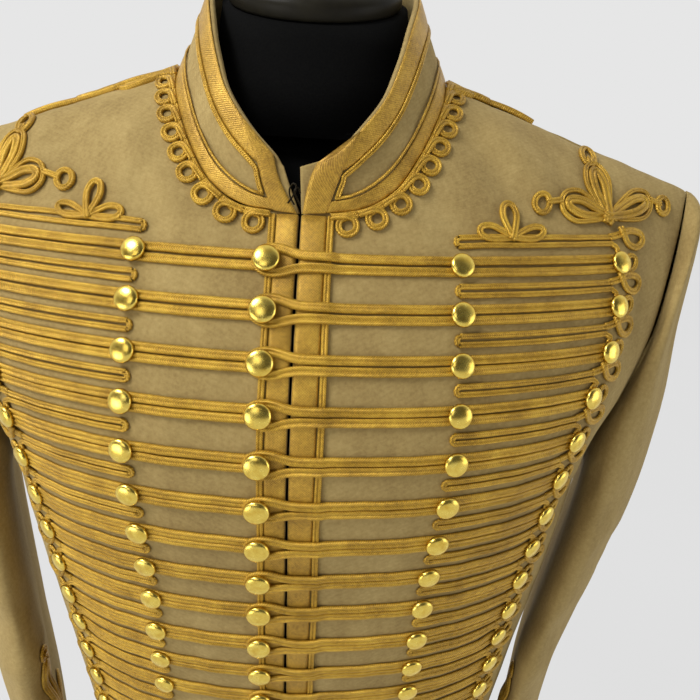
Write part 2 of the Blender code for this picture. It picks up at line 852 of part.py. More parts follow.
def clover(crossing, lobes, waist):
    """Outline of a knot's lobes, as places, with a waist between each lobe and the next."""
    x, z = crossing
    leans = [math.atan2(tip_z - z, tip_x - x) % (2 * math.pi) for tip_x, tip_z, _ in lobes]
    order = sorted(range(len(lobes)), key=lambda k: leans[k])
    outline = []
    for place, k in enumerate(order):
        tip_x, tip_z, width = lobes[k]
        reach = math.hypot(tip_x - x, tip_z - z)
        along = Vector((math.cos(leans[k]), math.sin(leans[k])))
        across = Vector((-along.y, along.x))
        for share, spread in ((0.62, -0.5), (0.95, -0.3), (0.95, 0.3), (0.62, 0.5)):
            p = Vector(crossing) + along * reach * share + across * width * spread
            outline.append((p.x, p.y))
        after = leans[order[(place + 1) % len(order)]]
        gap = (after - leans[k]) % (2 * math.pi)
        between = leans[k] + gap / 2
        outline.append((x + waist * math.cos(between), z + waist * math.sin(between)))
    return outline


def knot(on, side, crossing, lobes, lay):
    """Looped knot laid on a surface, with its crossing closed by a coil."""
    path = [(a, b, lay) for a, b in clover(crossing, lobes, KNOT_WAIST)]
    coil = circle(*crossing, KNOT_WAIST, lean=0.2)
    middle = pad(on, side, coil, lay + 0.3, lay + 1.8, lay + 2.1)
    return [braid(on, side, path, KNOT_SECTION, closed=True), middle]


def shoulder_knot(side):
    """Large knot over the top of the side column, with a ring at the end of each lobe."""
    shapes = knot(on_front, side, BIG_KNOT, BIG_KNOT_LOBES, 0.5)
    for x, z, tip in BIG_KNOT_RINGS:
        shapes.append(pad(on_front, side, circle(x, z, 4.0, lean=0.35), 0.7, 2.1, 1.3))
        if tip:
            shapes.append(braid(on_front, side, [(x, z, 0.6), (*tip, 0.6)], CORD_SECTION))
    return shapes


def neck_loops(side):
    """Cord along the collar seam with a row of rings outside it."""
    path = [(x, z, 0.5) for x, z in NECKLINE[1:-1]]
    first = (NECK_CORD_START, NECK_CORD_START * NECKLINE[1][1] / NECKLINE[1][0], 0.5)
    path.insert(0, first)
    cord = [(offset - NECK_CORD_OUT, lift) for offset, lift in CORD_SECTION]
    shapes = [braid(on_front, side, path, cord)]
    lengths = [0.0]
    for (x0, z0, _), (x1, z1, _) in zip(path, path[1:]):
        gap = on_front(LEFT, x1, z1, 0) - on_front(LEFT, x0, z0, 0)
        lengths.append(lengths[-1] + gap.length)
    count = int((lengths[-1] - NECK_RING_FIRST) / NECK_RING_PITCH) + 1
    for k in range(count):
        at = NECK_RING_FIRST + k * NECK_RING_PITCH
        i = max(j for j in range(len(lengths) - 1) if lengths[j] <= at)
        share = (at - lengths[i]) / (lengths[i + 1] - lengths[i])
        (x0, z0, _), (x1, z1, _) = path[i], path[i + 1]
        x, z = x0 + (x1 - x0) * share, z0 + (z1 - z0) * share
        across_x, across_z = stretch(on_front, side, x, z)
        run = Vector(((x1 - x0) * across_x, (z1 - z0) * across_z)).normalized()
        out = NECK_CORD_OUT + NECK_RING_OUT
        x, z = x + run.y * out / across_x, z - run.x * out / across_z
        lean = math.atan2(run.y, run.x) + math.pi / 6
        outline = placed(x, z, circle(0, 0, NECK_RING_RADIUS, lean=lean))
        ring = [(a, b, 0.6) for a, b in outline]
        shapes.append(braid(on_front, side, ring, RING_SECTION, closed=True))
    return shapes


def shoulder_cord(side):
    """Plaited cord along the shoulder seam, narrower towards the arm."""
    rings = []
    for x, width in SHOULDER_CORD:
        ring = []
        for across, lift in ((-1, 0.0), (1, 0.0), (0.8, 1.6), (-0.8, 1.6)):
            foot = Vector((x, MID_Y + across * width / 2, ridge_height(x)))
            p = foot + Vector((SHOULDER_SLOPE, 0, 1)).normalized() * (LAY + lift)
            ring.append(Vector((p.x * side, p.y, p.z)))
        rings.append(ring)
    return skin(rings)


def cuff_knot(side):
    """Pointed braid over the cuff, with a looped knot above its point."""
    shapes = knot(on_sleeve, side, CUFF_KNOT, CUFF_KNOT_LOBES, CUFF_LAY)
    point = [(arc, z, CUFF_LAY + 0.12) for arc, z in CUFF_POINT]
    shapes.append(braid(on_sleeve, side, point, CUFF_SECTION))
    ring = [(arc, z, CUFF_LAY + 0.15) for arc, z in circle(*CUFF_RING, lean=math.pi / 6)]
    shapes.append(braid(on_sleeve, side, ring, CORD_SECTION, closed=True))
    return shapes


def collar_lace(base, rim):
    """Lace that frames the collar: along the seam, up both corners and along the rim."""
    levels = (COLLAR_LACE_LOW, COLLAR_LACE_SEAM, COLLAR_LACE_RIM, COLLAR_LACE_HIGH)
    count = len(base)
    columns = []
    for end in (0, 1):
        low, high = (base[0], rim[0]), (base[1], rim[1])
        if end:
            low, high = (base[-2], rim[-2]), (base[-1], rim[-1])
        share = COLLAR_END_LACE / (high[0] - low[0]).length
        columns.append(share)
    base = list(base)
    rim = list(rim)
    base.insert(1, base[0].lerp(base[1], columns[0]))
    rim.insert(1, rim[0].lerp(rim[1], columns[0]))
    base.insert(count, base[-1].lerp(base[-2], columns[1]))
    rim.insert(count, rim[-1].lerp(rim[-2], columns[1]))
    outer = [collar_level(base, rim, share, COLLAR_LAY + LACE_THICK) for share in levels]
    inner = [collar_level(base, rim, share, COLLAR_LAY) for share in levels]
    width = len(base)
    points = [p for row in outer + inner for p in row]
    shift = len(levels) * width
    kept = {(j, i) for j in (0, 2) for i in range(width - 1)} | {(1, 0), (1, width - 2)}
    faces = []
    for j, i in sorted(kept):
        a, b = j * width + i, j * width + i + 1
        c, d = b + width, a + width
        faces.append((a, b, c, d))
        faces.append((d + shift, c + shift, b + shift, a + shift))
        if (j - 1, i) not in kept:
            faces.append((a + shift, b + shift, b, a))
        if (j + 1, i) not in kept:
            faces.append((c + shift, d + shift, d, c))
        if (j, i - 1) not in kept:
            faces.append((d + shift, a + shift, a, d))
        if (j, i + 1) not in kept:
            faces.append((b + shift, c + shift, c, b))
    return points, faces


def form_torso():
    """Sections of the limbless form, a little inside the jacket and level with its shoulders."""
    rings = []
    for z, half_width, front, back in FORM_BODY:
        ridge_x = NECK_X + (NECK_Z - SHOULDER_REST - z) / SHOULDER_SLOPE
        reach = min(half_width, ridge_x)
        ring = []
        for k in range(FORM_SIDES):
            angle = 2 * math.pi * k / FORM_SIDES
            x = reach * math.cos(angle)
            drop = min(max((ridge_height(x) - SHOULDER_REST - z) / FORM_ROLL, 0.0), 1.0)
            across = max(1 - (abs(x) / half_width) ** WIDTH_POWER, 0.0) ** (1 / WIDTH_POWER)
            share = across * math.sqrt(1 - (1 - drop) ** 2)
            turn = math.sin(angle)
            depth = back if turn > 0 else front
            y = MID_Y + (depth - MID_Y) * share
            if abs(turn) < 0.01:
                y = MID_Y
            ring.append(Vector((x, y, z)))
        rings.append(ring)
    return skin(rings)


def form_oval(half_width, front, back, z, tilt=0.0):
    ring = []
    for k in range(NECK_SIDES):
        angle = 2 * math.pi * k / NECK_SIDES
        turn = math.sin(angle)
        y = (front + back) / 2 + (back - front) / 2 * turn
        ring.append(Vector((half_width * math.cos(angle), y, z + (y - front) * math.tan(tilt))))
    return ring


def form_neck():
    rings = [form_oval(half, front, back, z) for z, half, front, back in FORM_NECK]
    rings.append(form_oval(*NECK_TOP, NECK_TOP_Z, NECK_TILT))
    return skin(rings)


def neck_cap():
    """Rounded cap on the neck's sloping top."""
    half, front, back = NECK_TOP
    depth = (back - front) / 2
    rings = []
    for share, height in CAP_PROFILE:
        middle = (front + back) / 2 - height * math.sin(NECK_TILT)
        level = NECK_TOP_Z + depth * math.tan(NECK_TILT) + height * math.cos(NECK_TILT)
        ring = []
        for k in range(NECK_SIDES):
            angle = 2 * math.pi * k / NECK_SIDES
            y = depth * share * math.sin(angle)
            rise = y * math.tan(NECK_TILT)
            ring.append(Vector((half * share * math.cos(angle), middle + y, level + rise)))
        rings.append(ring)
    return skin(rings)


def main():
    for obj in list(bpy.data.objects):
        bpy.data.objects.remove(obj)
    jacket = bpy.data.collections.new("hussar_jacket_on_dress_form")
    spare = bpy.data.collections.new("joined_shapes")
    for collection in (jacket, spare):
        bpy.context.scene.collection.children.link(collection)

    form = finish("form_matte_black", (0.012, 0.012, 0.012), 0.6)
    cap = finish("neck_cap_black", (0.02, 0.018, 0.015), 0.45)
    front_cloth = finish("khaki_wool_front", (0.35, 0.26, 0.13), 0.9)
    back_cloth = finish("khaki_wool_back", (0.34, 0.25, 0.125), 0.9)
    sleeve_cloth = finish("khaki_wool_sleeve", (0.36, 0.27, 0.135), 0.9)
    collar_cloth = finish("khaki_wool_collar", (0.37, 0.28, 0.14), 0.9)
    lace = finish("woven_gold_lace", (0.62, 0.42, 0.08), 0.45, 0.6)
    rows_gold = finish("gold_braid_and_buttons", (0.66, 0.46, 0.09), 0.4, 0.7)
    cord = finish("gold_cord", (0.6, 0.4, 0.07), 0.45, 0.6)

    fused("form_torso", [form_torso(), form_neck()], form, jacket, spare)
    solid("form_neck_cap", neck_cap(), cap, jacket)

    heights = row_heights()
    base, rim = collar_rows()
    levels = (COLLAR_FOOT, COLLAR_LACE_SEAM, COLLAR_LACE_RIM, 1.0)
    outer = [collar_level(base, rim, share) for share in levels]
    inner = [collar_level(base, rim, share, -COLLAR_CLOTH) for share in levels]
    solid("collar", wall(outer, inner), collar_cloth, jacket)
    solid("collar_lace", collar_lace(base, rim), lace, jacket)

    for side, word in SIDE_NAMES.items():
        fronts = front_rows(side)
        front_normals = seam_normals(fronts, side, 1)
        inner = moved_out(fronts, front_normals, -CLOTH)
        solid(f"front_{word}", wall(fronts, inner), front_cloth, jacket)
        backs = back_rows(side)
        back_normals = seam_normals(backs, side, -1)
        inner = moved_out(backs, back_normals, -CLOTH)
        solid(f"back_{word}", wall(backs, inner), back_cloth, jacket)

        rings, seam_inner = sleeve_rings(side, (fronts, front_normals), (backs, back_normals))
        normals = grid_normals(rings, wrap=True)
        inner = moved_out(rings, normals, -CLOTH * side)
        inner[0] = seam_inner
        solid(f"sleeve_{word}", wall(rings, inner, wrap=True), sleeve_cloth, jacket)

        solid(f"edge_lace_{word}", edge_lace(side), lace, jacket)
        above = heights[0] + HAIRPIN_ABOVE_FIRST
        for k, z in enumerate(heights):
            hairpin_z = above if k == 0 else (z + heights[k - 1]) / 2
            name = f"row_{word}_{k + 1:02d}"
            shapes = row_shapes(side, z, hairpin_z)
            if k == 0:
                outline = clover(SMALL_KNOT, SMALL_KNOT_LOBES, SMALL_KNOT_WAIST)
                shapes.append(pad(on_front, side, outline, 0.75, 2.1, 1.4))
            fused(name, shapes, rows_gold, jacket, spare)
        fused(f"shoulder_knot_{word}", shoulder_knot(side), cord, jacket, spare)
        fused(f"neck_loops_{word}", neck_loops(side), cord, jacket, spare)
        solid(f"shoulder_cord_{word}", shoulder_cord(side), cord, jacket)
        fused(f"cuff_knot_{word}", cuff_knot(side), cord, jacket, spare)

    bpy.data.collections.remove(spare)


main()
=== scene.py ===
# %% [markdown]
# # A hussar jacket on a dress form
#
# A hussar jacket is a short, close wool jacket whose front is covered with rows of gold braid.
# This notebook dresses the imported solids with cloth, woven lace, plaited braid, looped cord
# and gilt buttons, and photographs them in a plain studio.
#
# Everything is measured in millimetres from the pit of the neck, because a tailor measures
# down and out from there. One function turns that into metres above the floor.

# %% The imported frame
import math

import bpy
import numpy as np
from mathutils import Matrix, Vector


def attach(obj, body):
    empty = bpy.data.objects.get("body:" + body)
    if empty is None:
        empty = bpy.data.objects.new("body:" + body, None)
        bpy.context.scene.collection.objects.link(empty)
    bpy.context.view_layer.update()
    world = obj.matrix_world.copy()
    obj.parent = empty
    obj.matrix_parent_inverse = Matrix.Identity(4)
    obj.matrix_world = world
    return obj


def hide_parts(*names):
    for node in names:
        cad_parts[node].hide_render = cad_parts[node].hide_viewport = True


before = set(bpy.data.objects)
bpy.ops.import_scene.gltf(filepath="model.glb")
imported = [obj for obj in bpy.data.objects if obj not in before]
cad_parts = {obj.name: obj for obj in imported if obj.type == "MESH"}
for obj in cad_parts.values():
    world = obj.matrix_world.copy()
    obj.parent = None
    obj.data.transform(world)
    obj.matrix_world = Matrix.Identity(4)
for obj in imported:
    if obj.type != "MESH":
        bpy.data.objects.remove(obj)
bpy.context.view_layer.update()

MM = 0.001
PIT_HEIGHT = 680.0
LEFT, RIGHT = 1, -1
SIDES = {LEFT: "left", RIGHT: "right"}

bpy.ops.object.select_all(action="DESELECT")
print("solids in the frame:", len(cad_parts))

# %% [markdown]
# ## Where the photograph was taken from
#
# The camera comes first, because every later choice is judged through it. Its place, tilt and
# lens were worked out from the buttons and the collar. A Blender camera looks down its own
# -Z axis, so the three directions below are the columns of its rotation.

# %% Camera
CAMERA_PLACE = (20.0, -387.0, 38.6)
LOOK_DOWN, TURN, ROLL = (math.radians(a) for a in (19.2, 1.4, 3.2))
FOCAL_PIXELS, FRAME_PIXELS, SENSOR = 623.1, 700, 36.0

ahead = Vector((math.sin(TURN) * math.cos(LOOK_DOWN), math.cos(TURN) * math.cos(LOOK_DOWN),
                -math.sin(LOOK_DOWN)))
level = Vector((math.cos(TURN), -math.sin(TURN), 0.0))
above = level.cross(ahead)
right = level * math.cos(ROLL) + above * math.sin(ROLL)
up = above * math.cos(ROLL) - level * math.sin(ROLL)

camera_data = bpy.data.cameras.new("photo_camera")
camera_data.sensor_width = SENSOR
camera_data.lens = FOCAL_PIXELS * SENSOR / FRAME_PIXELS
camera = bpy.data.objects.new("photo_camera", camera_data)
bpy.context.scene.collection.objects.link(camera)
turn = Matrix((right, up, -ahead)).transposed().to_4x4()
place = (Vector(CAMERA_PLACE) + Vector((0, 0, PIT_HEIGHT))) * MM
camera.matrix_world = Matrix.Translation(place) @ turn
bpy.context.scene.camera = camera
print("lens in mm:", round(camera_data.lens, 2))

# %% [markdown]
# ## Colours and nodes
#
# A colour picked from a screen is an sRGB value, but light adds up in linear values, so one
# function turns a hex value into linear. Another adds a shader node, sets it and links it;
# every finish below is built from these two.

# %% Helpers for finishes
def colour(code):
    """Linear colour of an sRGB hex value."""
    parts = [int(code[k:k + 2], 16) / 255 for k in (0, 2, 4)]
    return (*(p / 12.92 if p <= 0.04045 else ((p + 0.055) / 1.055) ** 2.4 for p in parts), 1.0)


def add(tree, kind, inputs=(), **settings):
    """Adds a node with its settings; an input is a value or another node's output."""
    node = tree.nodes.new(kind)
    for key, value in settings.items():
        setattr(node, key, value)
    for key, value in dict(inputs).items():
        if isinstance(value, bpy.types.NodeSocket):
            tree.links.new(value, node.inputs[key])
        else:
            node.inputs[key].default_value = value
    return node


def new_finish(name, **sockets):
    """Material with a Principled shader whose plain sockets are set straight on it."""
    material = bpy.data.materials.new(name)
    material.use_nodes = True
    tree = material.node_tree
    shader = tree.nodes["Principled BSDF"]
    for key, value in sockets.items():
        shader.inputs[key.replace("_", " ")].default_value = value
    return material, tree, shader


def ramp(tree, factor, stops):
    """Colour ramp between hex colours at places from 0 to 1."""
    node = add(tree, "ShaderNodeValToRGB", {"Fac": factor})
    bar = node.color_ramp
    while len(bar.elements) < len(stops):
        bar.elements.new(0.5)
    for element, (at, code) in zip(bar.elements, stops):
        element.position = at
        element.color = colour(code)
    return node.outputs["Color"]


def maths(tree, operation, a, b=0.0, c=0.0):
    node = add(tree, "ShaderNodeMath", {0: a, 1: b, 2: c}, operation=operation)
    return node.outputs[0]


def noise(tree, place, scale, detail, roughness):
    """Noise of a scale in waves to a metre."""
    return add(tree, "ShaderNodeTexNoise", {
        "Vector": place, "Scale": scale, "Detail": detail, "Roughness": roughness}).outputs["Fac"]


def raise_grain(tree, shader, height, strength, depth):
    """Bump of a depth in millimetres."""
    bump = add(tree, "ShaderNodeBump", {
        "Height": height, "Strength": strength, "Distance": depth * MM})
    tree.links.new(bump.outputs["Normal"], shader.inputs["Normal"])


# %% [markdown]
# ## Khaki wool
#
# The cloth is a fulled wool twill: woven on the slant, then milled until a short nap hides most
# of the weave. It has almost no shine, a faint pale bloom where one looks along the nap, and a
# soft cloudiness from handling. Real twill lines are 0.5 mm apart, too fine for this picture,
# so they are drawn 1.3 mm apart.

# %% Wool finish
TWILL_PITCH, TWILL_SLANT = 1.3 * MM, math.radians(62)
WAVE_UNIT = 20 / math.pi
WOOL_STOPS = ((0.3, "866F42"), (0.52, "9C8552"), (0.74, "AE9761"))
# A mix node has sockets for numbers and for colours under one name; these are the colour ones.
MIX_A, MIX_B, MIX_COLOUR = 6, 7, 2


def wool():
    material, tree, shader = new_finish(
        "fulled_wool_twill", Roughness=0.92, Sheen_Weight=0.1, Sheen_Roughness=0.5,
        Specular_IOR_Level=0.2)
    shader.inputs["Sheen Tint"].default_value = colour("E6D8B0")
    place = add(tree, "ShaderNodeTexCoord").outputs["Object"]
    weave = add(tree, "ShaderNodeUVMap", uv_map="cloth").outputs["UV"]
    drawn = add(tree, "ShaderNodeMapping", {"Vector": place, "Scale": (1.0, 1.0, 0.3)})
    cloud = noise(tree, drawn.outputs["Vector"], 38.0, 4.0, 0.62)
    fine = noise(tree, place, 420.0, 2.0, 0.7)
    mixed = maths(tree, "MULTIPLY_ADD", fine, 0.45, maths(tree, "MULTIPLY", cloud, 0.6))
    tone = ramp(tree, mixed, WOOL_STOPS)
    turned = add(tree, "ShaderNodeMapping", {"Vector": weave, "Rotation": (0, 0, TWILL_SLANT)})
    twill = add(tree, "ShaderNodeTexWave", {
        "Vector": turned.outputs["Vector"], "Scale": 1 / TWILL_PITCH / WAVE_UNIT,
        "Distortion": 1.5, "Detail": 1.0, "Detail Scale": 3.0}, bands_direction="X")
    line = maths(tree, "MULTIPLY_ADD", twill.outputs["Fac"], 0.05, 0.97)
    shaded = add(tree, "ShaderNodeMix", {"Factor": 1.0, MIX_A: tone, MIX_B: line},
                 data_type="RGBA", blend_type="MULTIPLY")
    tree.links.new(shaded.outputs[MIX_COLOUR], shader.inputs["Base Color"])
    nap = noise(tree, place, 900.0, 2.0, 0.6)
    height = maths(tree, "MULTIPLY_ADD", twill.outputs["Fac"], 0.12,
                   maths(tree, "ADD", nap, cloud))
    raise_grain(tree, shader, height, 0.5, 0.45)
    return material


WOOL = wool()

# %% [markdown]
# ## Gold thread: braid and lace
#
# Gold thread is a silk or cotton core wound with a flat gilt strip, so it is part metal and part
# cloth, and it shines in short streaks. Its colour runs from a painted shade brown to a painted
# highlight yellow: raised specks and thread crowns are painted lighter, and the gaps between
# threads darker, which is partly the brown core and partly painted shade. Braid is plaited, with
# its threads slanting to a groove like the bones of a herring. Lace is woven flat.
# The patterns follow the piece's own UV map, whose two directions are metres along and across.

# %% Gold thread finishes
BRAID_PITCH, LACE_PITCH = 1.2 * MM, 1.25 * MM
# Both ramps run from a painted shade brown up to a painted highlight yellow.
BRAID_SHADE_TO_HIGHLIGHT = ((0.0, "4A3208"), (0.3, "967019"), (0.6, "CEA334"), (1.0, "EED258"))
LACE_SHADE_TO_HIGHLIGHT = ((0.0, "46300A"), (0.3, "8E6A20"), (0.6, "C69C38"), (1.0, "EACC60"))


def gold_thread(name, pattern, depth, stops):
    """Gold thread whose plait or weave comes from a function of the UV map."""
    material, tree, shader = new_finish(
        name, Roughness=0.42, Metallic=0.45, Sheen_Weight=0.04, Sheen_Roughness=0.4)
    shader.inputs["Sheen Tint"].default_value = colour("FFE9A8")
    weave = add(tree, "ShaderNodeUVMap", uv_map="cloth").outputs["UV"]
    place = add(tree, "ShaderNodeTexCoord").outputs["Object"]
    split = add(tree, "ShaderNodeSeparateXYZ", {"Vector": weave})
    threads = pattern(tree, split.outputs["X"], split.outputs["Y"])
    speck = noise(tree, place, 700.0, 2.0, 0.75)
    wear = noise(tree, place, 55.0, 3.0, 0.6)
    # Painted highlight and painted shade: the colour is lighter where specks and threads stand
    # higher in the bump; the wear noise adds real tone.
    value = maths(tree, "MULTIPLY_ADD", speck, 0.55,
                  maths(tree, "MULTIPLY_ADD", threads, 0.22,
                        maths(tree, "MULTIPLY_ADD", wear, 0.6, -0.2)))
    tree.links.new(ramp(tree, value, stops), shader.inputs["Base Color"])
    raise_grain(tree, shader, maths(tree, "MULTIPLY_ADD", speck, 0.35, threads), 0.8, depth)
    return material


def wave(tree, phase):
    """Wave between 0 and 1 from a phase counted in whole turns."""
    sine = maths(tree, "SINE", maths(tree, "MULTIPLY", phase, 2 * math.pi))
    return maths(tree, "MULTIPLY_ADD", sine, 0.5, 0.5)


def herringbone(tree, along, across):
    slant = maths(tree, "MULTIPLY", maths(tree, "ABSOLUTE", across), 1.1 / BRAID_PITCH)
    return wave(tree, maths(tree, "MULTIPLY_ADD", along, 1 / BRAID_PITCH, slant))


def basket(tree, along, across):
    one = wave(tree, maths(tree, "MULTIPLY_ADD", along, 1 / LACE_PITCH,
                           maths(tree, "MULTIPLY", across, 1 / LACE_PITCH)))
    other = wave(tree, maths(tree, "MULTIPLY_ADD", along, 1 / LACE_PITCH,
                             maths(tree, "MULTIPLY", across, -1 / LACE_PITCH)))
    return maths(tree, "MULTIPLY", maths(tree, "ADD", one, other), 0.5)


BRAID = gold_thread("plaited_gold_braid", herringbone, 0.22, BRAID_SHADE_TO_HIGHLIGHT)
LACE = gold_thread("woven_gold_lace", basket, 0.18, LACE_SHADE_TO_HIGHLIGHT)

# %% [markdown]
# ## Gilt brass, black wire and the black form
#
# The buttons are stamped brass, gilt and polished: a full metal with a low roughness, so their
# colour is mostly the colour of what they mirror. Hooks are japanned steel wire. The form is
# covered in matte black jersey, and its cap is painted with a satin black.

# %% Hard finishes
def gilt_brass():
    material, tree, shader = new_finish("polished_gilt_brass", Metallic=1.0)
    place = add(tree, "ShaderNodeTexCoord").outputs["Object"]
    rub = noise(tree, place, 260.0, 3.0, 0.6)
    tree.links.new(ramp(tree, rub, ((0.25, "D8B246"), (0.6, "ECD066"))),
                   shader.inputs["Base Color"])
    rough = add(tree, "ShaderNodeMapRange", {"Value": rub, "To Min": 0.2, "To Max": 0.32})
    tree.links.new(rough.outputs["Result"], shader.inputs["Roughness"])
    raise_grain(tree, shader, rub, 0.15, 0.1)
    return material


def dark_finish(name, low, high, roughness, scale, depth, metallic=0.0):
    """Dark finish with a fine grain: jersey, satin paint or japanned wire."""
    material, tree, shader = new_finish(
        name, Roughness=roughness, Metallic=metallic, Specular_IOR_Level=0.08)
    place = add(tree, "ShaderNodeTexCoord").outputs["Object"]
    grain = noise(tree, place, scale, 3.0, 0.6)
    tree.links.new(ramp(tree, grain, ((0.3, low), (0.7, high))), shader.inputs["Base Color"])
    raise_grain(tree, shader, grain, 0.4, depth)
    return material


BRASS = gilt_brass()
JERSEY = dark_finish("matte_black_jersey", "050505", "0A0A09", 0.95, 900.0, 0.2)
SATIN = dark_finish("satin_black_paint", "1B1914", "252219", 0.42, 60.0, 0.05)
WIRE = dark_finish("japanned_steel_wire", "15120C", "2A2416", 0.35, 400.0, 0.03, metallic=0.6)

# %% [markdown]
# ## Building meshes from strips
#
# Cloth and braid are both grids of points: so many along, so many across. One function joins
# any number of grids into one object, closes them where they run round, and writes a UV map in
# metres, so that threads keep their size on every piece. Grids are made with numpy, because a
# thousand curved strips made by hand operators would take minutes.

# %% Grids and objects
def grid_part(points, uv, around=False, along=False, finish=0):
    """Faces of a grid of points; it may close across (around) and lengthwise (along)."""
    rows, columns = points.shape[:2]
    j, i = np.meshgrid(np.arange(rows if along else rows - 1),
                       np.arange(columns if around else columns - 1), indexing="ij")
    j, i = j.ravel(), i.ravel()
    j1, i1 = (j + 1) % rows, (i + 1) % columns
    quads = np.stack([j * columns + i, j * columns + i1, j1 * columns + i1, j1 * columns + i], 1)
    corners = np.stack([uv[j, i], uv[j, i + 1], uv[j + 1, i + 1], uv[j + 1, i]], 1)
    faces = [(quads, corners)]
    if around and not along:
        for row, turn in ((0, -1), (rows - 1, 1)):
            ring = row * columns + np.arange(columns)[::turn]
            fan = np.stack([np.full(columns - 2, ring[0]), ring[1:-1], ring[2:]], 1)
            faces.append((fan, np.zeros((len(fan), 3, 2)) + uv[row, 0]))
    return {"points": points.reshape(-1, 3), "faces": faces, "finish": finish}


def build(name, parts, finishes):
    """One smooth object from several parts, placed in metres above the floor."""
    start = 0
    loops, sizes, maps, slots = [], [], [], []
    for part in parts:
        for faces, corners in part["faces"]:
            loops.append((faces + start).ravel())
            sizes.append(np.full(len(faces), faces.shape[1]))
            maps.append(corners.reshape(-1, 2))
            slots.append(np.full(len(faces), part["finish"]))
        start += len(part["points"])
    points = np.concatenate([part["points"] for part in parts]) + (0, 0, PIT_HEIGHT)
    loops, sizes, maps, slots = (np.concatenate(a) for a in (loops, sizes, maps, slots))
    mesh = bpy.data.meshes.new(name)
    mesh.vertices.add(len(points))
    mesh.vertices.foreach_set("co", (points * MM).astype(np.float32).ravel())
    mesh.loops.add(len(loops))
    mesh.loops.foreach_set("vertex_index", loops.astype(np.int32))
    mesh.polygons.add(len(sizes))
    mesh.polygons.foreach_set("loop_start", (np.cumsum(sizes) - sizes).astype(np.int32))
    mesh.polygons.foreach_set("loop_total", sizes.astype(np.int32))
    mesh.polygons.foreach_set("material_index", slots.astype(np.int32))
    mesh.polygons.foreach_set("use_smooth", np.ones(len(sizes), bool))
    layer = mesh.uv_layers.new(name="cloth")
    layer.data.foreach_set("uv", (maps * MM).astype(np.float32).ravel())
    mesh.update(calc_edges=True)
    mesh.validate()
    for finish in finishes:
        mesh.materials.append(finish)
    obj = bpy.data.objects.new(name, mesh)
    bpy.context.scene.collection.objects.link(obj)
    return obj


def dress(obj, node):
    """The piece moves with the jacket and stands for its solid."""
    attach(obj, "root")
    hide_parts(node)


def thicken(obj, wall):
    """Gives an outer face of cloth its wall, inwards, with Solidify applied as by hand."""
    modifier = obj.modifiers.new("wall", "SOLIDIFY")
    modifier.thickness, modifier.offset = wall * MM, -1.0
    bpy.ops.object.select_all(action="DESELECT")
    obj.select_set(True)
    bpy.context.view_layer.objects.active = obj
    bpy.ops.object.modifier_apply(modifier=modifier.name)
    obj.select_set(False)


def lengths(points, axis):
    """Distance run along an axis of a grid of points, from its first line."""
    gaps = np.linalg.norm(np.diff(points, axis=axis), axis=-1)
    zero = np.zeros_like(np.take(gaps, [0], axis=axis))
    return np.concatenate([zero, np.cumsum(gaps, axis=axis)], axis=axis)


def catmull(a, b, c, d, t):
    """Smooth curve between b and c, which also heeds the places before and after."""
    return 0.5 * (2 * b + (c - a) * t + (2 * a - 5 * b + 4 * c - d) * t**2
                  + (3 * b - a - 3 * c + d) * t**3)


# %% [markdown]
# ## The body of the jacket
#
# A tailor's block is a front depth, a back depth and a half width at each height, and a shoulder
# line that falls a third as it goes out. These tables are the cut. A smooth curve runs through
# each, and the two functions below them give the cloth's place at any half width and height.

# %% The cut
MID_Y, WIDTH_POWER, SHOULDER_ROLL = 4.0, 2.2, 200.0
HEM_Z, ARMPIT_Z = -398.0, -150.0
NECK_X, NECK_Z, SHOULDER_SLOPE, SHOULDER_X = 75.0, 68.0, 1 / 3, 230.0
SHOULDER_Z = NECK_Z - (SHOULDER_X - NECK_X) * SHOULDER_SLOPE
NECK_CURVE = -0.00204
EDGE_X = {LEFT: 0.3, RIGHT: 0.9}
SEAM_HALF = 0.2

# Height, y at the centre line.
FRONT_DEPTH = (
    (-410, -90.0), (-400, -90.0), (-360, -93.0), (-320, -98.0), (-280, -103.0), (-240, -110.0),
    (-200, -114.0), (-160, -121.0), (-120, -124.0), (-80, -120.3), (-40, -113.4), (0, -100.3),
    (30, -92.0), (70, -78.0),
)
BACK_DEPTH = (
    (-410, 71.0), (-400, 70.0), (-300, 80.0), (-200, 94.0), (-120, 101.0), (-60, 102.0),
    (-20, 99.0),
)
# Height, half width.
HALF_WIDTH = (
    (-410, 151.0), (-400, 150.0), (-350, 157.0), (-300, 164.0), (-250, 172.0), (-200, 179.0),
    (-150, 186.0), (-138, 188.2), (-125, 193.0), (-112, 199.5), (-100, 205.5), (-80, 214.0),
    (-60, 221.0), (-25, 229.0), (0, 232.5), (40, 236.0),
)
ARMHOLE = (
    (-150, 186.0), (-130, 186.0), (-108, 191.0), (-87, 199.0), (-66, 207.3), (-44, 212.4),
    (-22, 218.2), (8, 226.0), (16.4, 230.0),
)
# Half width and height of the neckline, then half width, y and height of the nape.
NECKLINE = (
    (0.0, 0.0), (28.0, 3.0), (45.0, 12.0), (56.0, 26.0), (65.0, 42.0), (71.5, 57.0),
    (NECK_X, NECK_Z),
)
NAPE = ((71.0, 29.0, 73.5), (55.0, 49.0, 78.5), (29.0, 61.0, 82.0), (0.0, 64.0, 83.0))


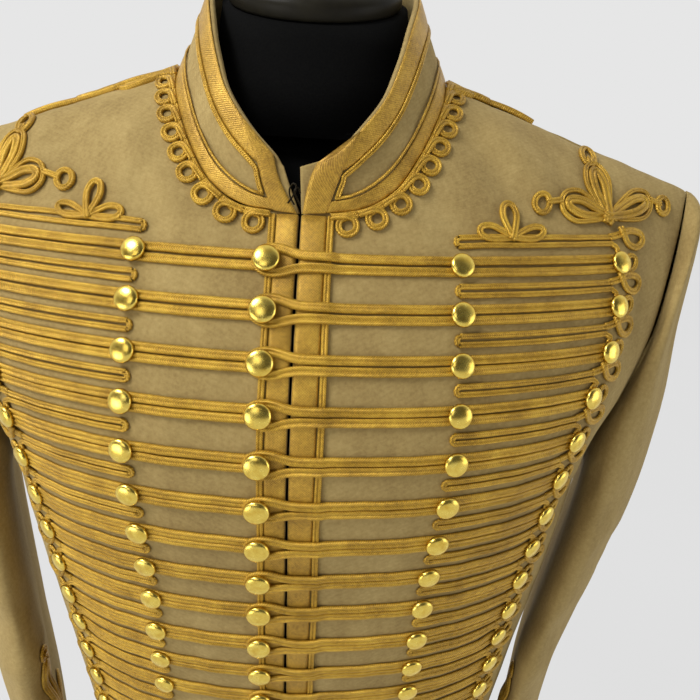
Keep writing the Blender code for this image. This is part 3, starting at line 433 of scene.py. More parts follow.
def smooth(table, at, column=1):
    """Value of a table at places between its rows, on a smooth curve."""
    keys = np.array([row[0] for row in table], float)
    values = np.array([row[column] for row in table], float)
    at = np.clip(np.asarray(at, float), keys[0], keys[-1])
    k = np.clip(np.searchsorted(keys, at, side="right") - 1, 0, len(keys) - 2)
    index = np.arange(len(keys))
    low, high = np.maximum(index - 1, 0), np.minimum(index + 1, len(keys) - 1)
    slopes = (values[high] - values[low]) / (keys[high] - keys[low])
    span = keys[k + 1] - keys[k]
    t = (at - keys[k]) / span
    return ((2 * t**3 - 3 * t**2 + 1) * values[k] + (t**3 - 2 * t**2 + t) * span * slopes[k]
            + (3 * t**2 - 2 * t**3) * values[k + 1] + (t**3 - t**2) * span * slopes[k + 1])


def ridge_height(x):
    """Height of the shoulder line over a half width."""
    x = np.abs(x)
    inside = np.maximum(NECK_X - x, 0.0)
    return NECK_Z + (NECK_X - x) * SHOULDER_SLOPE + NECK_CURVE * inside**2


def body_y(depths, x, z):
    """y of the cloth at a half width and height, on the front or the back."""
    half = smooth(HALF_WIDTH, z)
    across = np.maximum(1 - (np.minimum(np.abs(x), half) / half) ** WIDTH_POWER, 0.0)
    drop = np.clip((ridge_height(x) - z) / SHOULDER_ROLL, 0.0, 1.0)
    share = across ** (1 / WIDTH_POWER) * np.sqrt(1 - (1 - drop) ** 2)
    return MID_Y + (smooth(depths, z) - MID_Y) * share


def side_limit(z):
    """Half width where a body panel ends: the armhole, or below it the side seam."""
    return np.where(z > ARMPIT_Z, smooth(ARMHOLE, z), smooth(HALF_WIDTH, z))


def unit(v):
    return v / np.maximum(np.linalg.norm(v, axis=-1, keepdims=True), 1e-9)


# %% [markdown]
# ## Creases
#
# Wool on a form still buckles softly: slanting pulls from the collar, hollows at the armholes,
# long soft drags down a sleeve. Each is one row of a table: two ends, a width and a height,
# below zero for a trough. Nothing is random, so the cloth is the same every time.

# %% Crease tables
# Half width and height of one end and of the other, width, height out of the cloth.
FRONT_CREASES = {
    LEFT: (
        (82, 44, 118, 2, 8, -2.4), (96, 48, 136, 12, 9, 2.0), (60, 10, 86, -18, 8, -1.4),
        (140, 44, 172, 28, 10, -1.2), (200, -12, 178, -84, 8, -2.2), (192, 8, 168, -10, 9, 1.2),
        (40, -40, 70, -62, 9, 0.8), (150, -180, 172, -150, 12, -2.0),
        (120, -260, 160, -230, 14, -1.4), (60, -300, 62, -396, 12, 0.9),
    ),
    RIGHT: (
        (42, 22, 22, -16, 7, -1.6), (84, 20, 66, -18, 9, -2.2), (98, 38, 62, -2, 9, 1.9),
        (136, 36, 108, 0, 11, -1.7), (158, 34, 132, 6, 9, 1.2), (200, -12, 178, -84, 8, -2.2),
        (48, -86, 66, -98, 9, 0.8), (150, -175, 172, -148, 12, -2.2),
        (124, -270, 158, -238, 14, -1.5), (58, -290, 64, -396, 12, 0.9),
    ),
}
BACK_CREASES = {
    LEFT: (
        (200, -20, 150, -70, 12, -2.6), (180, 0, 120, -40, 14, 1.6),
        (12, -300, 16, -398, 12, -2.2), (48, -240, 62, -396, 14, 1.8),
        (84, -250, 96, -396, 15, -2.0), (150, -160, 120, -190, 12, -1.8),
        (60, 60, 96, 20, 10, -1.4),
    ),
    RIGHT: (
        (198, -30, 146, -84, 12, -2.4), (176, -6, 112, -50, 14, 1.8),
        (14, -290, 18, -398, 12, -2.0), (44, -250, 58, -396, 13, 1.6),
        (80, -230, 100, -396, 15, -2.2), (152, -168, 116, -204, 12, -1.6),
        (66, 58, 104, 14, 10, -1.6),
    ),
}
# Arc from the sleeve's front fold, positive outwards, and height, then as above.
SLEEVE_CREASES = {
    LEFT: (
        (70, -10, 60, -110, 9, -2.2), (30, -20, 22, -120, 10, 1.8),
        (-30, -150, 20, -190, 10, -2.4), (10, -205, 66, -236, 11, -2.0),
        (-20, -262, 50, -292, 12, -2.6), (-40, -300, 34, -318, 11, 1.8),
        (-56, -352, 10, -338, 11, -2.0), (40, -330, 60, -480, 12, 1.6),
        (-70, -420, -60, -560, 10, -1.6), (20, -430, 30, -590, 12, -1.4),
        (120, -180, 130, -330, 14, -2.0), (160, -300, 110, -340, 12, -2.2),
        (110, -400, 120, -560, 13, 1.5),
    ),
    RIGHT: (
        (70, -14, 58, -118, 9, -2.0), (28, -30, 18, -128, 10, 1.8),
        (-34, -160, 16, -196, 10, -2.2), (0, -214, 62, -250, 11, -2.2),
        (-26, -270, 44, -304, 12, -2.4), (-44, -318, 30, -336, 11, 2.0),
        (-60, -366, 4, -350, 11, -2.2), (36, -340, 52, -470, 12, 1.6),
        (-72, -430, -62, -560, 10, -1.6), (16, -440, 28, -590, 12, -1.4),
        (118, -190, 128, -330, 14, -2.0), (158, -310, 108, -352, 12, -2.2),
        (112, -410, 124, -560, 13, 1.5),
    ),
}


# Fine ripples all over: height, run across, start, and how far and how slowly they wander.
RIPPLES = ((0.1, 2.9, 0.0, 1.4, 17.0), (0.12, 5.1, 2.0, 1.8, 31.0))


def relief(table, u, v):
    """Height of the ripples and creases at a place on the cloth."""
    total = sum(height * np.sin(u / run + start + wander * np.sin(v / slow))
                for height, run, start, wander, slow in RIPPLES)
    for u0, v0, u1, v1, width, height in table:
        du, dv = u1 - u0, v1 - v0
        t = np.clip(((u - u0) * du + (v - v0) * dv) / (du * du + dv * dv), 0, 1)
        away = np.hypot(u - (u0 + t * du), v - (v0 + t * dv))
        total = total + height * np.exp(-((away / width) ** 2)) * (1 - (2 * t - 1) ** 4)
    return total


def on_front(side, x, z, lift=0.0):
    """Points over a front at half widths and heights, lifted off the creased cloth."""
    x, z = np.broadcast_arrays(np.asarray(x, float), np.asarray(z, float))
    slope_x = body_y(FRONT_DEPTH, x + 0.5, z) - body_y(FRONT_DEPTH, x - 0.5, z)
    slope_z = body_y(FRONT_DEPTH, x, z + 0.5) - body_y(FRONT_DEPTH, x, z - 0.5)
    normal = unit(np.stack([slope_x, -np.ones_like(x), slope_z], -1))
    out = lift + relief(FRONT_CREASES[side], x, z)
    points = np.stack([x, body_y(FRONT_DEPTH, x, z), z], -1) + normal * np.asarray(out)[..., None]
    points[..., 0] *= side
    return points


# %% [markdown]
# ## Fronts and backs
#
# Each panel is a grid from the centre to the side seam and armhole. Below the arm its lines are
# level; above, they fan from the neckline to the armhole, as the grain does over a shoulder.
# The last few millimetres at a seam turn in, which draws the seam as a fine shaded groove.
# Solidify gives the cloth its 2 mm.

# %% Body panels
CLOTH = 2.0
PANEL_COLUMNS, ROW_STEP = 72, 5.0
FAN_START, FAN_STEPS = -22.0, 30
SEAM_DIP, SEAM_WIDTH = 0.7, 2.0
# Height at the armhole of the line that starts at each point of the neckline.
FAN_HEIGHTS = (-15.5, -9.0, -2.5, 4.0, 9.0, 13.0, SHOULDER_Z)


def level_lines(depths, start_x, low_z, high_z, facing):
    """Level lines of a panel from the centre out to its side, closer where the body turns."""
    heights = np.linspace(low_z, high_z, int((high_z - low_z) / ROW_STEP) + 1)
    half = smooth(HALF_WIDTH, heights)[:, None]
    first = np.arcsin(start_x / half)
    last = np.arcsin(np.minimum(side_limit(heights)[:, None] / half, 1.0))
    x = half * np.sin(first + (last - first) * np.linspace(0, 1, PANEL_COLUMNS)[None])
    z = np.repeat(heights[:, None], PANEL_COLUMNS, 1)
    y = body_y(depths, x, z)
    y[heights <= ARMPIT_Z, -1] = MID_Y - SEAM_HALF * facing
    return np.stack([x, y, z], -1)


def grid_normals(points, around=False):
    if around:
        across = np.roll(points, -1, 1) - np.roll(points, 1, 1)
    else:
        across = np.gradient(points, axis=1)
    return unit(np.cross(across, np.gradient(points, axis=0)))


def seam_dip(distance):
    return -SEAM_DIP * np.exp(-((distance / SEAM_WIDTH) ** 2))


def panel(side, rows, table, facing):
    """Creased outer face of a panel, with its seams turned in, and its UV map in mm."""
    across, upward = lengths(rows, 1), lengths(rows, 0)
    normals = grid_normals(rows) * facing
    out = relief(table, rows[..., 0], rows[..., 2])
    out = out + seam_dip(across[:, -1:] - across)
    shoulder = seam_dip(upward[-1:] - upward) * (rows[-1:, :, 0] >= NECK_X - 1)
    points = rows + normals * (out + shoulder)[..., None]
    points[..., 0] *= side
    uv = np.stack([across, upward], -1)
    if side * facing < 0:
        points, uv = points[:, ::-1], uv[:, ::-1]
    return points, uv


def front_rows(side):
    rows = level_lines(FRONT_DEPTH, EDGE_X[side], HEM_Z, FAN_START, 1)
    shares = (rows[-1, :, 0] - rows[-1, 0, 0]) / (rows[-1, -1, 0] - rows[-1, 0, 0])
    steps = np.linspace(-1, 6, FAN_STEPS + 1)[1:]
    table = [(-1.0, 0.0, FAN_START, FAN_START)]
    table += [(k, x, z, out) for k, ((x, z), out) in enumerate(zip(NECKLINE, FAN_HEIGHTS))]
    x0 = np.maximum(smooth(table, steps, 1), EDGE_X[side])[:, None]
    z0 = smooth(table, steps, 2)[:, None]
    z1 = smooth(table, steps, 3)[:, None]
    x = x0 + (side_limit(z1) - x0) * shares
    z = z0 + (z1 - z0) * shares
    y = body_y(FRONT_DEPTH, x, z)
    y[-1] = MID_Y - SEAM_HALF
    return np.concatenate([rows, np.stack([x, y, z], -1)])


BACK_YOKE_STEPS, YOKE_FULLNESS = 30, 0.85
BACK_FAN = ((0.0, -22.0), (0.25, -9.0), (0.5, 4.0), (0.75, 11.0), (1.0, SHOULDER_Z))
BACK_KEYS = (0.0, 0.12, 0.22, 0.29, 0.36, 0.5, 0.66, 0.83, 1.0)
BACK_SEAM_SHARES = (0.0, 0.26, 0.52, 0.78, 1.0)


def back_rows():
    rows = level_lines(BACK_DEPTH, SEAM_HALF, HEM_Z, FAN_START, -1)
    keys = [(max(x, SEAM_HALF), y, z) for x, y, z in reversed(NAPE)]
    for share in BACK_SEAM_SHARES:
        x = NECK_X + (SHOULDER_X - NECK_X) * share
        keys.append((x, MID_Y + SEAM_HALF, float(ridge_height(x))))
    table = [(key, *point) for key, point in zip(BACK_KEYS, keys)]
    at = np.linspace(0, 1, PANEL_COLUMNS)
    top = np.stack([smooth(table, at, c) for c in (1, 2, 3)], -1)
    seam = at >= BACK_KEYS[4]
    top[seam, 1] = MID_Y + SEAM_HALF
    top[seam, 2] = ridge_height(top[seam, 0])
    low = rows[-1]
    corner = np.stack([(low[:, 0] + top[:, 0]) / 2, low[:, 1],
                       low[:, 2] + np.maximum(top[:, 2] - low[:, 2], 0) * YOKE_FULLNESS], -1)
    fan = []
    for step in np.linspace(0, 1, BACK_YOKE_STEPS + 1)[1:]:
        line = low * (1 - step) ** 2 + corner * 2 * step * (1 - step) + top * step**2
        end_z = smooth(BACK_FAN, step)
        end_x = side_limit(end_z)
        line[-1] = (end_x, body_y(BACK_DEPTH, end_x, end_z), end_z)
        fan.append(line)
    fan[-1] = top
    return np.concatenate([rows, np.array(fan)])


# Width and length of the cloth that each piece is cut from, in metres.
FRONT_CUT, BACK_CUT = (0.30, 0.48), (0.26, 0.50)
for side, word in SIDES.items():
    for part, rows, table, facing, cut in (
            ("front", front_rows(side), FRONT_CREASES[side], 1, FRONT_CUT),
            ("back", back_rows(), BACK_CREASES[side], -1, BACK_CUT)):
        points, uv = panel(side, rows, table, facing)
        obj = build(f"{part}_cloth_{word}", [grid_part(points, uv)], [WOOL])
        thicken(obj, CLOTH)
        dress(obj, f"{part}_{word}")

# %% [markdown]
# ## Sleeves
#
# A sleeve is a tube that starts as the armhole's own curve and turns into an oval. Its first
# ring follows the edges of the panels, a third of a millimetre away from them, and the rings below
# come from the arm's tables. The rest of the tube is drawn smoothly through those rings.

# %% Sleeve tubes
SLEEVE_SIDES, ARMHOLE_GAP = 84, 0.3
ARMHOLE_HEIGHTS = (SHOULDER_Z, 4.0, -22.0, -66.0, -108.0, -138.0, -150.0, -138.0, -108.0, -66.0,
                   -22.0, 4.0, SHOULDER_Z)
# Half width and height of the outer and of the inner point, depth fore and aft, and swing.
SLEEVE_HEAD = (
    (237.0, 10.0, 190.0, -151.0, 42.0, 44.0, 0.16),
    (242.0, -14.0, 193.0, -154.0, 50.0, 56.0, 0.32),
    (243.0, -64.0, 197.0, -160.0, 56.0, 66.0, 0.44),
    (245.0, -126.0, 199.0, -171.0, 60.0, 70.0, 0.5),
)
# Height, half width of the inner and of the outer side, depth fore and aft.
SLEEVE_LENGTH = {
    LEFT: ((-590.0, 168.0, 196.0, 50.0, 54.0), (-500.0, 168.0, 196.0, 50.0, 54.0),
           (-400.0, 172.0, 200.0, 52.0, 56.0), (-335.0, 176.0, 207.0, 54.0, 60.0),
           (-205.0, 196.0, 237.0, 60.0, 68.0)),
    RIGHT: ((-590.0, 189.0, 226.0, 50.0, 54.0), (-500.0, 189.0, 226.0, 50.0, 54.0),
            (-400.0, 192.0, 231.0, 52.0, 56.0), (-335.0, 197.0, 239.0, 54.0, 60.0),
            (-205.0, 204.0, 246.0, 60.0, 68.0)),
}
# How far a sleeve's section swings out for each millimetre back, and the share of that
# behind its middle.
SLEEVE_SWING = {LEFT: 0.54, RIGHT: 0.57}
SWING_BEHIND = 0.6
HEAD_STEPS, LENGTH_STEPS = 8, 80


def armhole_ring(angles):
    """Points just outside the edge of the armhole, from the shoulder forwards and round."""
    keys = np.radians(np.arange(13) * 30.0)
    z = smooth(tuple(zip(keys, ARMHOLE_HEIGHTS)), angles)
    x = side_limit(z)
    fore = np.sin(angles) > 0
    y = np.where(fore, body_y(FRONT_DEPTH, x, z), body_y(BACK_DEPTH, x, z))
    return np.stack([x + ARMHOLE_GAP, y, z - ARMHOLE_GAP * 0.25], -1)


def oval_ring(angles, outer_x, outer_z, inner_x, inner_z, front, back, swing):
    centre = np.array([(outer_x + inner_x) / 2, MID_Y, (outer_z + inner_z) / 2])
    reach = np.array([outer_x, MID_Y, outer_z]) - centre
    depth = np.where(np.sin(angles) > 0, front, back)
    out = centre + reach * np.cos(angles)[:, None]
    out[:, 1] -= depth * np.sin(angles)
    back_by = out[:, 1] - MID_Y
    out[:, 0] += swing * back_by * np.where(back_by > 0, SWING_BEHIND, 1.0)
    return out


def sleeve_rows(side):
    angles = np.linspace(0, 2 * np.pi, SLEEVE_SIDES, endpoint=False)
    lower = SLEEVE_LENGTH[side]
    rings = [armhole_ring(angles)]
    rings += [oval_ring(angles, *row) for row in SLEEVE_HEAD]
    swing = SLEEVE_SWING[side]
    for z, inner_x, outer_x, front, back in (lower[-1], lower[-2]):
        rings.append(oval_ring(angles, outer_x, z, inner_x, z, front, back, swing))
    rows, last = [], len(SLEEVE_HEAD) + 1
    for t in np.linspace(0, last, HEAD_STEPS * last + 1):
        k = min(int(t), len(rings) - 2)
        near = (rings[i] for i in (max(k - 1, 0), k, k + 1, min(k + 2, len(rings) - 1)))
        rows.append(catmull(*near, t - k))
    for z in np.linspace(lower[-1][0], lower[0][0], LENGTH_STEPS)[1:]:
        inner_x, outer_x, front, back = (float(smooth(lower, z, c)) for c in (1, 2, 3, 4))
        rows.append(oval_ring(angles, outer_x, z, inner_x, z, front, back, swing))
    return np.array(rows)


def sleeve_arc(closed):
    """Arc round the sleeve from its front fold, positive towards the outside."""
    quarter = SLEEVE_SIDES // 4
    run = lengths(closed, 1)
    total, front = run[:, -1:], run[:, quarter:quarter + 1]
    arc = front - run[:, :-1]
    return np.where(arc < -total / 2, arc + total, arc)


# The head's seam dips, and the cloth swells a little below it where the seam allowance lies.
HEAD_DIP, HEAD_SWELL, SWELL_BELOW, CREASES_FROM = 0.6, -0.35, 10.0, 12.0
for side, word in SIDES.items():
    rows = sleeve_rows(side)
    closed = np.concatenate([rows, rows[:, :1]], 1)
    arc = sleeve_arc(closed)
    normals = grid_normals(rows, around=True)
    downward = lengths(rows, 0)
    out = relief(SLEEVE_CREASES[side], arc, rows[..., 2]) * np.clip(
        downward / CREASES_FROM, 0, 1)
    out = out + seam_dip(downward) * HEAD_DIP + seam_dip(downward - SWELL_BELOW) * HEAD_SWELL
    points = rows + normals * out[..., None]
    points[..., 0] *= side
    uv = np.stack([lengths(closed, 1), np.concatenate([downward, downward[:, :1]], 1)], -1)
    if side == RIGHT:
        points, uv = points[:, ::-1], uv[:, ::-1]
    part = grid_part(points, uv, around=True)
    part["faces"] = part["faces"][:1]
    obj = build(f"sleeve_cloth_{word}", [part], [WOOL])
    thicken(obj, CLOTH)
    dress(obj, f"sleeve_{word}")


def on_sleeve(side, arc, z, lift=0.0):
    """Points over a sleeve at arcs from its front fold and heights."""
    arc, z = np.broadcast_arrays(np.asarray(arc, float), np.asarray(z, float))
    inner, outer, front, back = (smooth(SLEEVE_LENGTH[side], z, c) for c in (1, 2, 3, 4))
    middle, half = (inner + outer) / 2, (outer - inner) / 2
    swing, way = SLEEVE_SWING[side], np.where(arc < 0, -1.0, 1.0)
    turns = np.radians(np.arange(0, 181, 2.0))
    deep = np.where(np.cos(turns) > 0, front[..., None], back[..., None]) * np.sin(turns)
    lean = swing * np.where(np.cos(turns) > 0, 1.0, SWING_BEHIND)
    wide = half[..., None] * np.cos(turns) + way[..., None] * lean * deep
    grow = np.hypot(wide, deep)
    run = np.concatenate([np.zeros_like(grow[..., :1]),
                          np.cumsum((grow[..., 1:] + grow[..., :-1]) / 2 * np.radians(2), -1)], -1)
    flat_run, flat_arc = run.reshape(-1, len(turns)), np.abs(arc).ravel()
    angle = np.array([np.interp(a, r, turns) for a, r in zip(flat_arc, flat_run)])
    angle = angle.reshape(arc.shape) * way
    depth = np.where(np.cos(angle) > 0, front, back)
    lean = swing * np.where(np.cos(angle) > 0, 1.0, SWING_BEHIND)
    slope = np.sin(angle) / half
    normal = unit(np.stack([slope, -np.cos(angle) / depth - lean * slope, 0 * z], -1))
    out = lift + relief(SLEEVE_CREASES[side], arc, z)
    x = middle + half * np.sin(angle) - lean * depth * np.cos(angle)
    points = np.stack([x, MID_Y - depth * np.cos(angle), z], -1)
    points = points + normal * np.asarray(out)[..., None]
    points[..., 0] *= side
    return points


# %% [markdown]
# ## Collar
#
# The stand collar is a band between two curves: the neckline that it is sewn to and its rim,
# which stands nearer the neck. Any point of it is a share of the way up, so the same function
# serves the cloth and the lace on it.

# %% Stand collar
# Half width, y and height of the rim, from the front corner to the centre back.
COLLAR_RIM = (
    (14.0, -77.0, 28.0), (27.0, -71.0, 41.0), (38.0, -61.0, 55.5), (44.5, -50.0, 71.0),
    (49.6, -37.0, 88.0), (55.0, -12.0, 106.0), (54.5, 15.0, 115.0), (43.0, 39.0, 120.5),
    (25.0, 52.0, 124.0), (0.0, 56.0, 125.0),
)
COLLAR_CORNER = {LEFT: (-1.0, -78.0, 22.0), RIGHT: (-9.0, -78.0, 22.0)}
# The cloth's thickness, its grid and where it starts, as a share.
COLLAR_CLOTH = 2.5
COLLAR_COLUMNS, COLLAR_LEVELS, COLLAR_FOOT = 220, 22, 0.004


def collar_curves():
    """Neckline and rim, from the wearer's right front corner round to the left one."""
    base, rim = [], []
    for side in (RIGHT, LEFT):
        low = [(max(x, EDGE_X[side]) * side, float(body_y(FRONT_DEPTH, max(x, EDGE_X[side]), z)), z)
               for x, z in NECKLINE]
        low += [(x * side, y, z) for x, y, z in NAPE]
        high = [COLLAR_CORNER[side]] + [(x * side, y, z) for x, y, z in COLLAR_RIM]
        base += low if side == RIGHT else low[-2::-1]
        rim += high if side == RIGHT else high[-2::-1]
    return base, rim


collar_base, collar_rim = collar_curves()
BASE_TABLE = [(k, *point) for k, point in enumerate(collar_base)]
RIM_TABLE = [(k, *point) for k, point in enumerate(collar_rim)]
COLLAR_ENDS = len(BASE_TABLE) - 1


def on_collar(at, share, lift=0.0):
    """Points round the collar, at a place from 0 to 20 and a share of its height."""
    at, share = np.broadcast_arrays(np.asarray(at, float), np.asarray(share, float))

    def spot(where, part):
        low = np.stack([smooth(BASE_TABLE, where, c) for c in (1, 2, 3)], -1)
        high = np.stack([smooth(RIM_TABLE, where, c) for c in (1, 2, 3)], -1)
        return low + (high - low) * part[..., None]

    ahead_by = spot(np.minimum(at + 0.05, COLLAR_ENDS), share)
    behind = spot(np.maximum(at - 0.05, 0), share)
    rise = spot(at, np.ones_like(share)) - spot(at, np.zeros_like(share))
    normal = unit(np.cross(rise, ahead_by - behind))
    return spot(at, share) + normal * np.broadcast_to(lift, at.shape)[..., None]


places = np.linspace(0, COLLAR_ENDS, COLLAR_COLUMNS)
shares = np.linspace(COLLAR_FOOT, 1.0, COLLAR_LEVELS)
at, share = np.meshgrid(places, shares)
bulge = 0.5 * np.sin(at * 2.3) * np.sin(share * np.pi) + 0.35 * np.sin(at * 4.1 + 1)
collar_points = on_collar(at, share, bulge * np.sin(share * np.pi))
uv = np.stack([lengths(collar_points, 1), lengths(collar_points, 0)], -1)
collar_points, uv = collar_points[:, ::-1], uv[:, ::-1]
collar = build("collar_cloth", [grid_part(collar_points, uv)], [WOOL])
thicken(collar, COLLAR_CLOTH)
dress(collar, "collar")

# %% [markdown]
# ## Strips: braid, cord and lace
#
# A strip is a small outline carried along a path on the cloth. At each step it needs three
# directions: along, out of the cloth, and across, which is square to both. Braid has two ribs
# and a groove, cord is round, and lace is flat with soft edges.

# %% Strips
def spline(points, step):
    """Evenly spaced places on a smooth curve through a few given ones."""
    points = np.array(points, float)
    last = len(points) - 1
    shares = np.linspace(0, 1, 16, endpoint=False)[:, None]
    dense = []
    for k in range(last):
        near = (points[min(max(k + i, 0), last)] for i in (-1, 0, 1, 2))
        dense.append(catmull(*near, shares))
    dense = np.concatenate(dense + [points[-1:]])
    run = lengths(dense[:, None, :2], 0)[:, 0]
    at = np.linspace(0, run[-1], max(int(run[-1] / step), 3) + 1)
    return np.stack([np.interp(at, run, column) for column in dense.T], 1)


def braid_outline(width, height):
    """Outline of a flat braid: two ribs with a groove between, listed anticlockwise."""
    w, h = width / 2, height
    rib = [(w, 0.35 * h), (0.86 * w, 0.85 * h), (0.52 * w, h), (0.2 * w, 0.84 * h),
           (0.0, 0.5 * h)]
    outline = [(-w, 0.0), (w, 0.0)] + rib + [(-a, b) for a, b in rib[-2::-1]]
    return np.array([(a, b, a) for a, b in outline])


def cord_outline(width, height, sides):
    """Outline of a round cord pressed on to the cloth."""
    turns = np.arange(sides) / sides * 2 * np.pi - np.pi / 2
    a = width / 2 * np.cos(turns)
    b = height / 2 + height / 2 * np.sin(turns)
    return np.stack([a, b, np.arange(sides) / sides * np.pi * width], 1)


def strip(surface, path, outline, closed=False, finish=0):
    """Strip of an outline along a path of places and lifts on a surface."""
    path = np.asarray(path, float)
    foot = surface(path[:, 0], path[:, 1], 0.0)
    out = unit(surface(path[:, 0], path[:, 1], 1.0) - foot)
    foot = foot + out * path[:, 2:3]
    if closed:
        run = np.roll(foot, -1, 0) - np.roll(foot, 1, 0)
        steps = np.linalg.norm(np.roll(foot, -1, 0) - foot, axis=1)
        length = np.concatenate([[0], np.cumsum(steps)])
    else:
        run = np.gradient(foot, axis=0)
        length = lengths(foot[:, None], 0)[:, 0]
    run = unit(run)
    across = unit(np.cross(out, run))
    out = np.cross(run, across)
    points = (foot[:, None] + across[:, None] * outline[None, :, :1]
              + out[:, None] * outline[None, :, 1:2])
    v = np.append(outline[:, 2], outline[0, 2])
    uv = np.stack(np.broadcast_arrays(length[:, None], v[None]), -1)
    return grid_part(points, uv, around=True, along=closed, finish=finish)


# How much thinner lace is at its edges, and how many columns that reaches in.
LACE_THINNER, LACE_REACH = 0.45, 0.6


def lace_part(surface, along, across, lift, thick):
    """Flat lace over a grid of places, thinner at its edges, with a foot below each edge."""
    columns = np.arange(len(across))
    inward = np.minimum(columns, columns[::-1])
    top = thick * (1 - LACE_THINNER * np.exp(-inward / LACE_REACH))
    order = np.concatenate([[across[0], across[-1]], across[::-1]])
    height = np.concatenate([[0.0, 0.0], top[::-1]]) + lift
    points = surface(along[:, None], order[None], height[None])
    reach = lengths(points[:, 2:], 1)
    u = lengths(points[:, 2:3], 0)[:, 0]
    v = np.concatenate([reach[:, -1:], reach[:, :1], reach, reach[:, -1:]], 1)
    uv = np.stack(np.broadcast_arrays(u[:, None], v - reach[:, -1:] / 2), -1)
    return grid_part(points, uv, around=True)


# %% [markdown]
# ## One button
#
# A gilt button is a shallow dome with a rolled edge on a short shank. It is turned once, from a
# cylinder: the top is extruded and narrowed ring by ring into a dome, and the bottom is inset
# and drawn down into the shank. Every button is a copy of it, stood on the cloth.

# %% Button model
BUTTON_TURNS = 20
RIM_RADIUS, RIM_HEIGHT = 0.97, 0.2
SHANK_INSET, SHANK, SHANK_CLEAR = 0.68, 0.7, 0.2
# Radius and height of each ring of the dome.
DOME_RINGS = ((0.985, 0.34), (0.93, 0.56), (0.82, 0.72), (0.62, 0.86), (0.36, 0.95),
              (0.12, 0.995))


def select_faces(obj, test):
    """Leaves only the faces that pass a test selected."""
    bpy.ops.mesh.select_all(action="DESELECT")
    bpy.ops.object.mode_set(mode="OBJECT")
    for polygon in obj.data.polygons:
        polygon.select = test(polygon)
    bpy.ops.object.mode_set(mode="EDIT")


def make_button():
    """Unit button: radius 1, standing on the origin, its dome's top at 1."""
    bpy.ops.mesh.primitive_cylinder_add(
        vertices=BUTTON_TURNS, radius=RIM_RADIUS, depth=RIM_HEIGHT,
        location=(0, 0, RIM_HEIGHT / 2))
    obj = bpy.context.active_object
    bpy.ops.object.transform_apply(location=True, rotation=True, scale=True)
    bpy.ops.object.mode_set(mode="EDIT")
    bpy.ops.mesh.select_mode(type="FACE")
    radius, height = RIM_RADIUS, RIM_HEIGHT
    select_faces(obj, lambda p: p.normal.z > 0.9)
    for share, top in DOME_RINGS:
        bpy.ops.mesh.extrude_region_move(TRANSFORM_OT_translate={"value": (0, 0, top - height)})
        bpy.ops.transform.resize(value=(share / radius, share / radius, 1))
        radius, height = share, top
    select_faces(obj, lambda p: p.normal.z < -0.9 and p.center.z < 0.05)
    bpy.ops.mesh.inset(thickness=SHANK_INSET, depth=0.0)
    bpy.ops.mesh.extrude_region_move(TRANSFORM_OT_translate={"value": (0, 0, -SHANK)})
    bpy.ops.object.mode_set(mode="OBJECT")
    mesh = obj.data
    points = np.array([v.co for v in mesh.vertices])
    faces = [tuple(p.vertices) for p in mesh.polygons]
    bpy.data.objects.remove(obj)
    sizes = sorted({len(f) for f in faces})
    return points, [np.array([f for f in faces if len(f) == size]) for size in sizes]


button_points, button_faces = make_button()
print("button faces:", sum(map(len, button_faces)), "height from",
      round(button_points[:, 2].min(), 2), "to", round(button_points[:, 2].max(), 2))


def button(side, x, z, radius, low, high):
    """Copy of the button, standing on a front with its rim and dome at given lifts."""
    foot = on_front(side, np.array([x]), np.array([z]))[0]
    out = unit(on_front(side, np.array([x]), np.array([z]), 8.0)[0] - foot)
    upward = unit(np.cross(out, (1.0, 0, 0)))
    across = np.cross(upward, out)
    a, b, rise = button_points.T[..., None]
    height = np.where(rise >= 0, low + rise * (high - low),
                      low + rise / SHANK * (low - SHANK_CLEAR))
    points = foot + across * (a * radius) + upward * (b * radius) + out * height
    faces = [(group, np.zeros((*group.shape, 2))) for group in button_faces]
    return {"points": points, "faces": faces, "finish": 1}


# %% [markdown]
# ## Rows of braid
#
# Each row is a pair of braids. On the wearer's left they are one braid, doubled, whose end makes
# a loop over the centre button; on the right they end under it. Between the rows lie hairpins
# of thinner braid, which run out to the side, turn through an eye and drop to the next button.
# The rows sit at even steps down the front's own profile.

# %% Row places
ROWS, ROW_PITCH, FIRST_ROW_ARC = 16, 24.3, 25.0
MID_COLUMN = ((-402, 73.0), (-260, 73.0), (-200, 74.5), (-165, 76.5), (-113, 81.0), (-20, 79.5))
SIDE_COLUMN = (
    (-402, 112.0), (-330, 121.0), (-270, 129.0), (-220, 134.0), (-190, 138.2), (-165, 142.0),
    (-120, 149.5), (-90, 156.8), (-66, 165.0), (-42, 169.2), (-20, 171.1),
)
CENTRE_BUTTON_X = 14.5
HAIRPIN_ABOVE_FIRST = 11.5


def row_heights():
    """Heights of the rows, evenly spaced along the profile down the centre."""
    z = np.arange(0, -400, -0.5)
    y = body_y(FRONT_DEPTH, 0 * z, z)
    run = np.concatenate([[0], np.cumsum(np.hypot(np.diff(y), np.diff(z)))])
    return [float(np.interp(FIRST_ROW_ARC + k * ROW_PITCH, run, z)) for k in range(ROWS)]


row_z = row_heights()
print("row heights:", [round(z, 1) for z in row_z])

# %% Row paths
BAND_LIFT, LOOP_LIFT = 0.45, 2.0
BRAID_APART, HAIRPIN_APART = 2.5, 1.9
# How far a band runs past its side button, where it steadies near the centre, how far a
# hairpin runs past the middle column, and how much hand-laid braid wavers.
BAND_PAST, BAND_NEAR, HAIRPIN_PAST, ROW_WAVER = 4.0, {LEFT: 20.0, RIGHT: 16.0}, 2.2, 0.35
ROW_BRAID, HAIRPIN_BRAID = braid_outline(4.75, 1.7), braid_outline(3.1, 1.25)
EYE_BRAID, SMALL_BRAID = braid_outline(4.0, 1.5), braid_outline(2.8, 1.3)
# Radius of a button, and the lifts of its rim and of its dome.
CENTRE_BUTTON, OTHER_BUTTON = (6.8, 4.2, 7.6), (6.5, 2.2, 5.6)
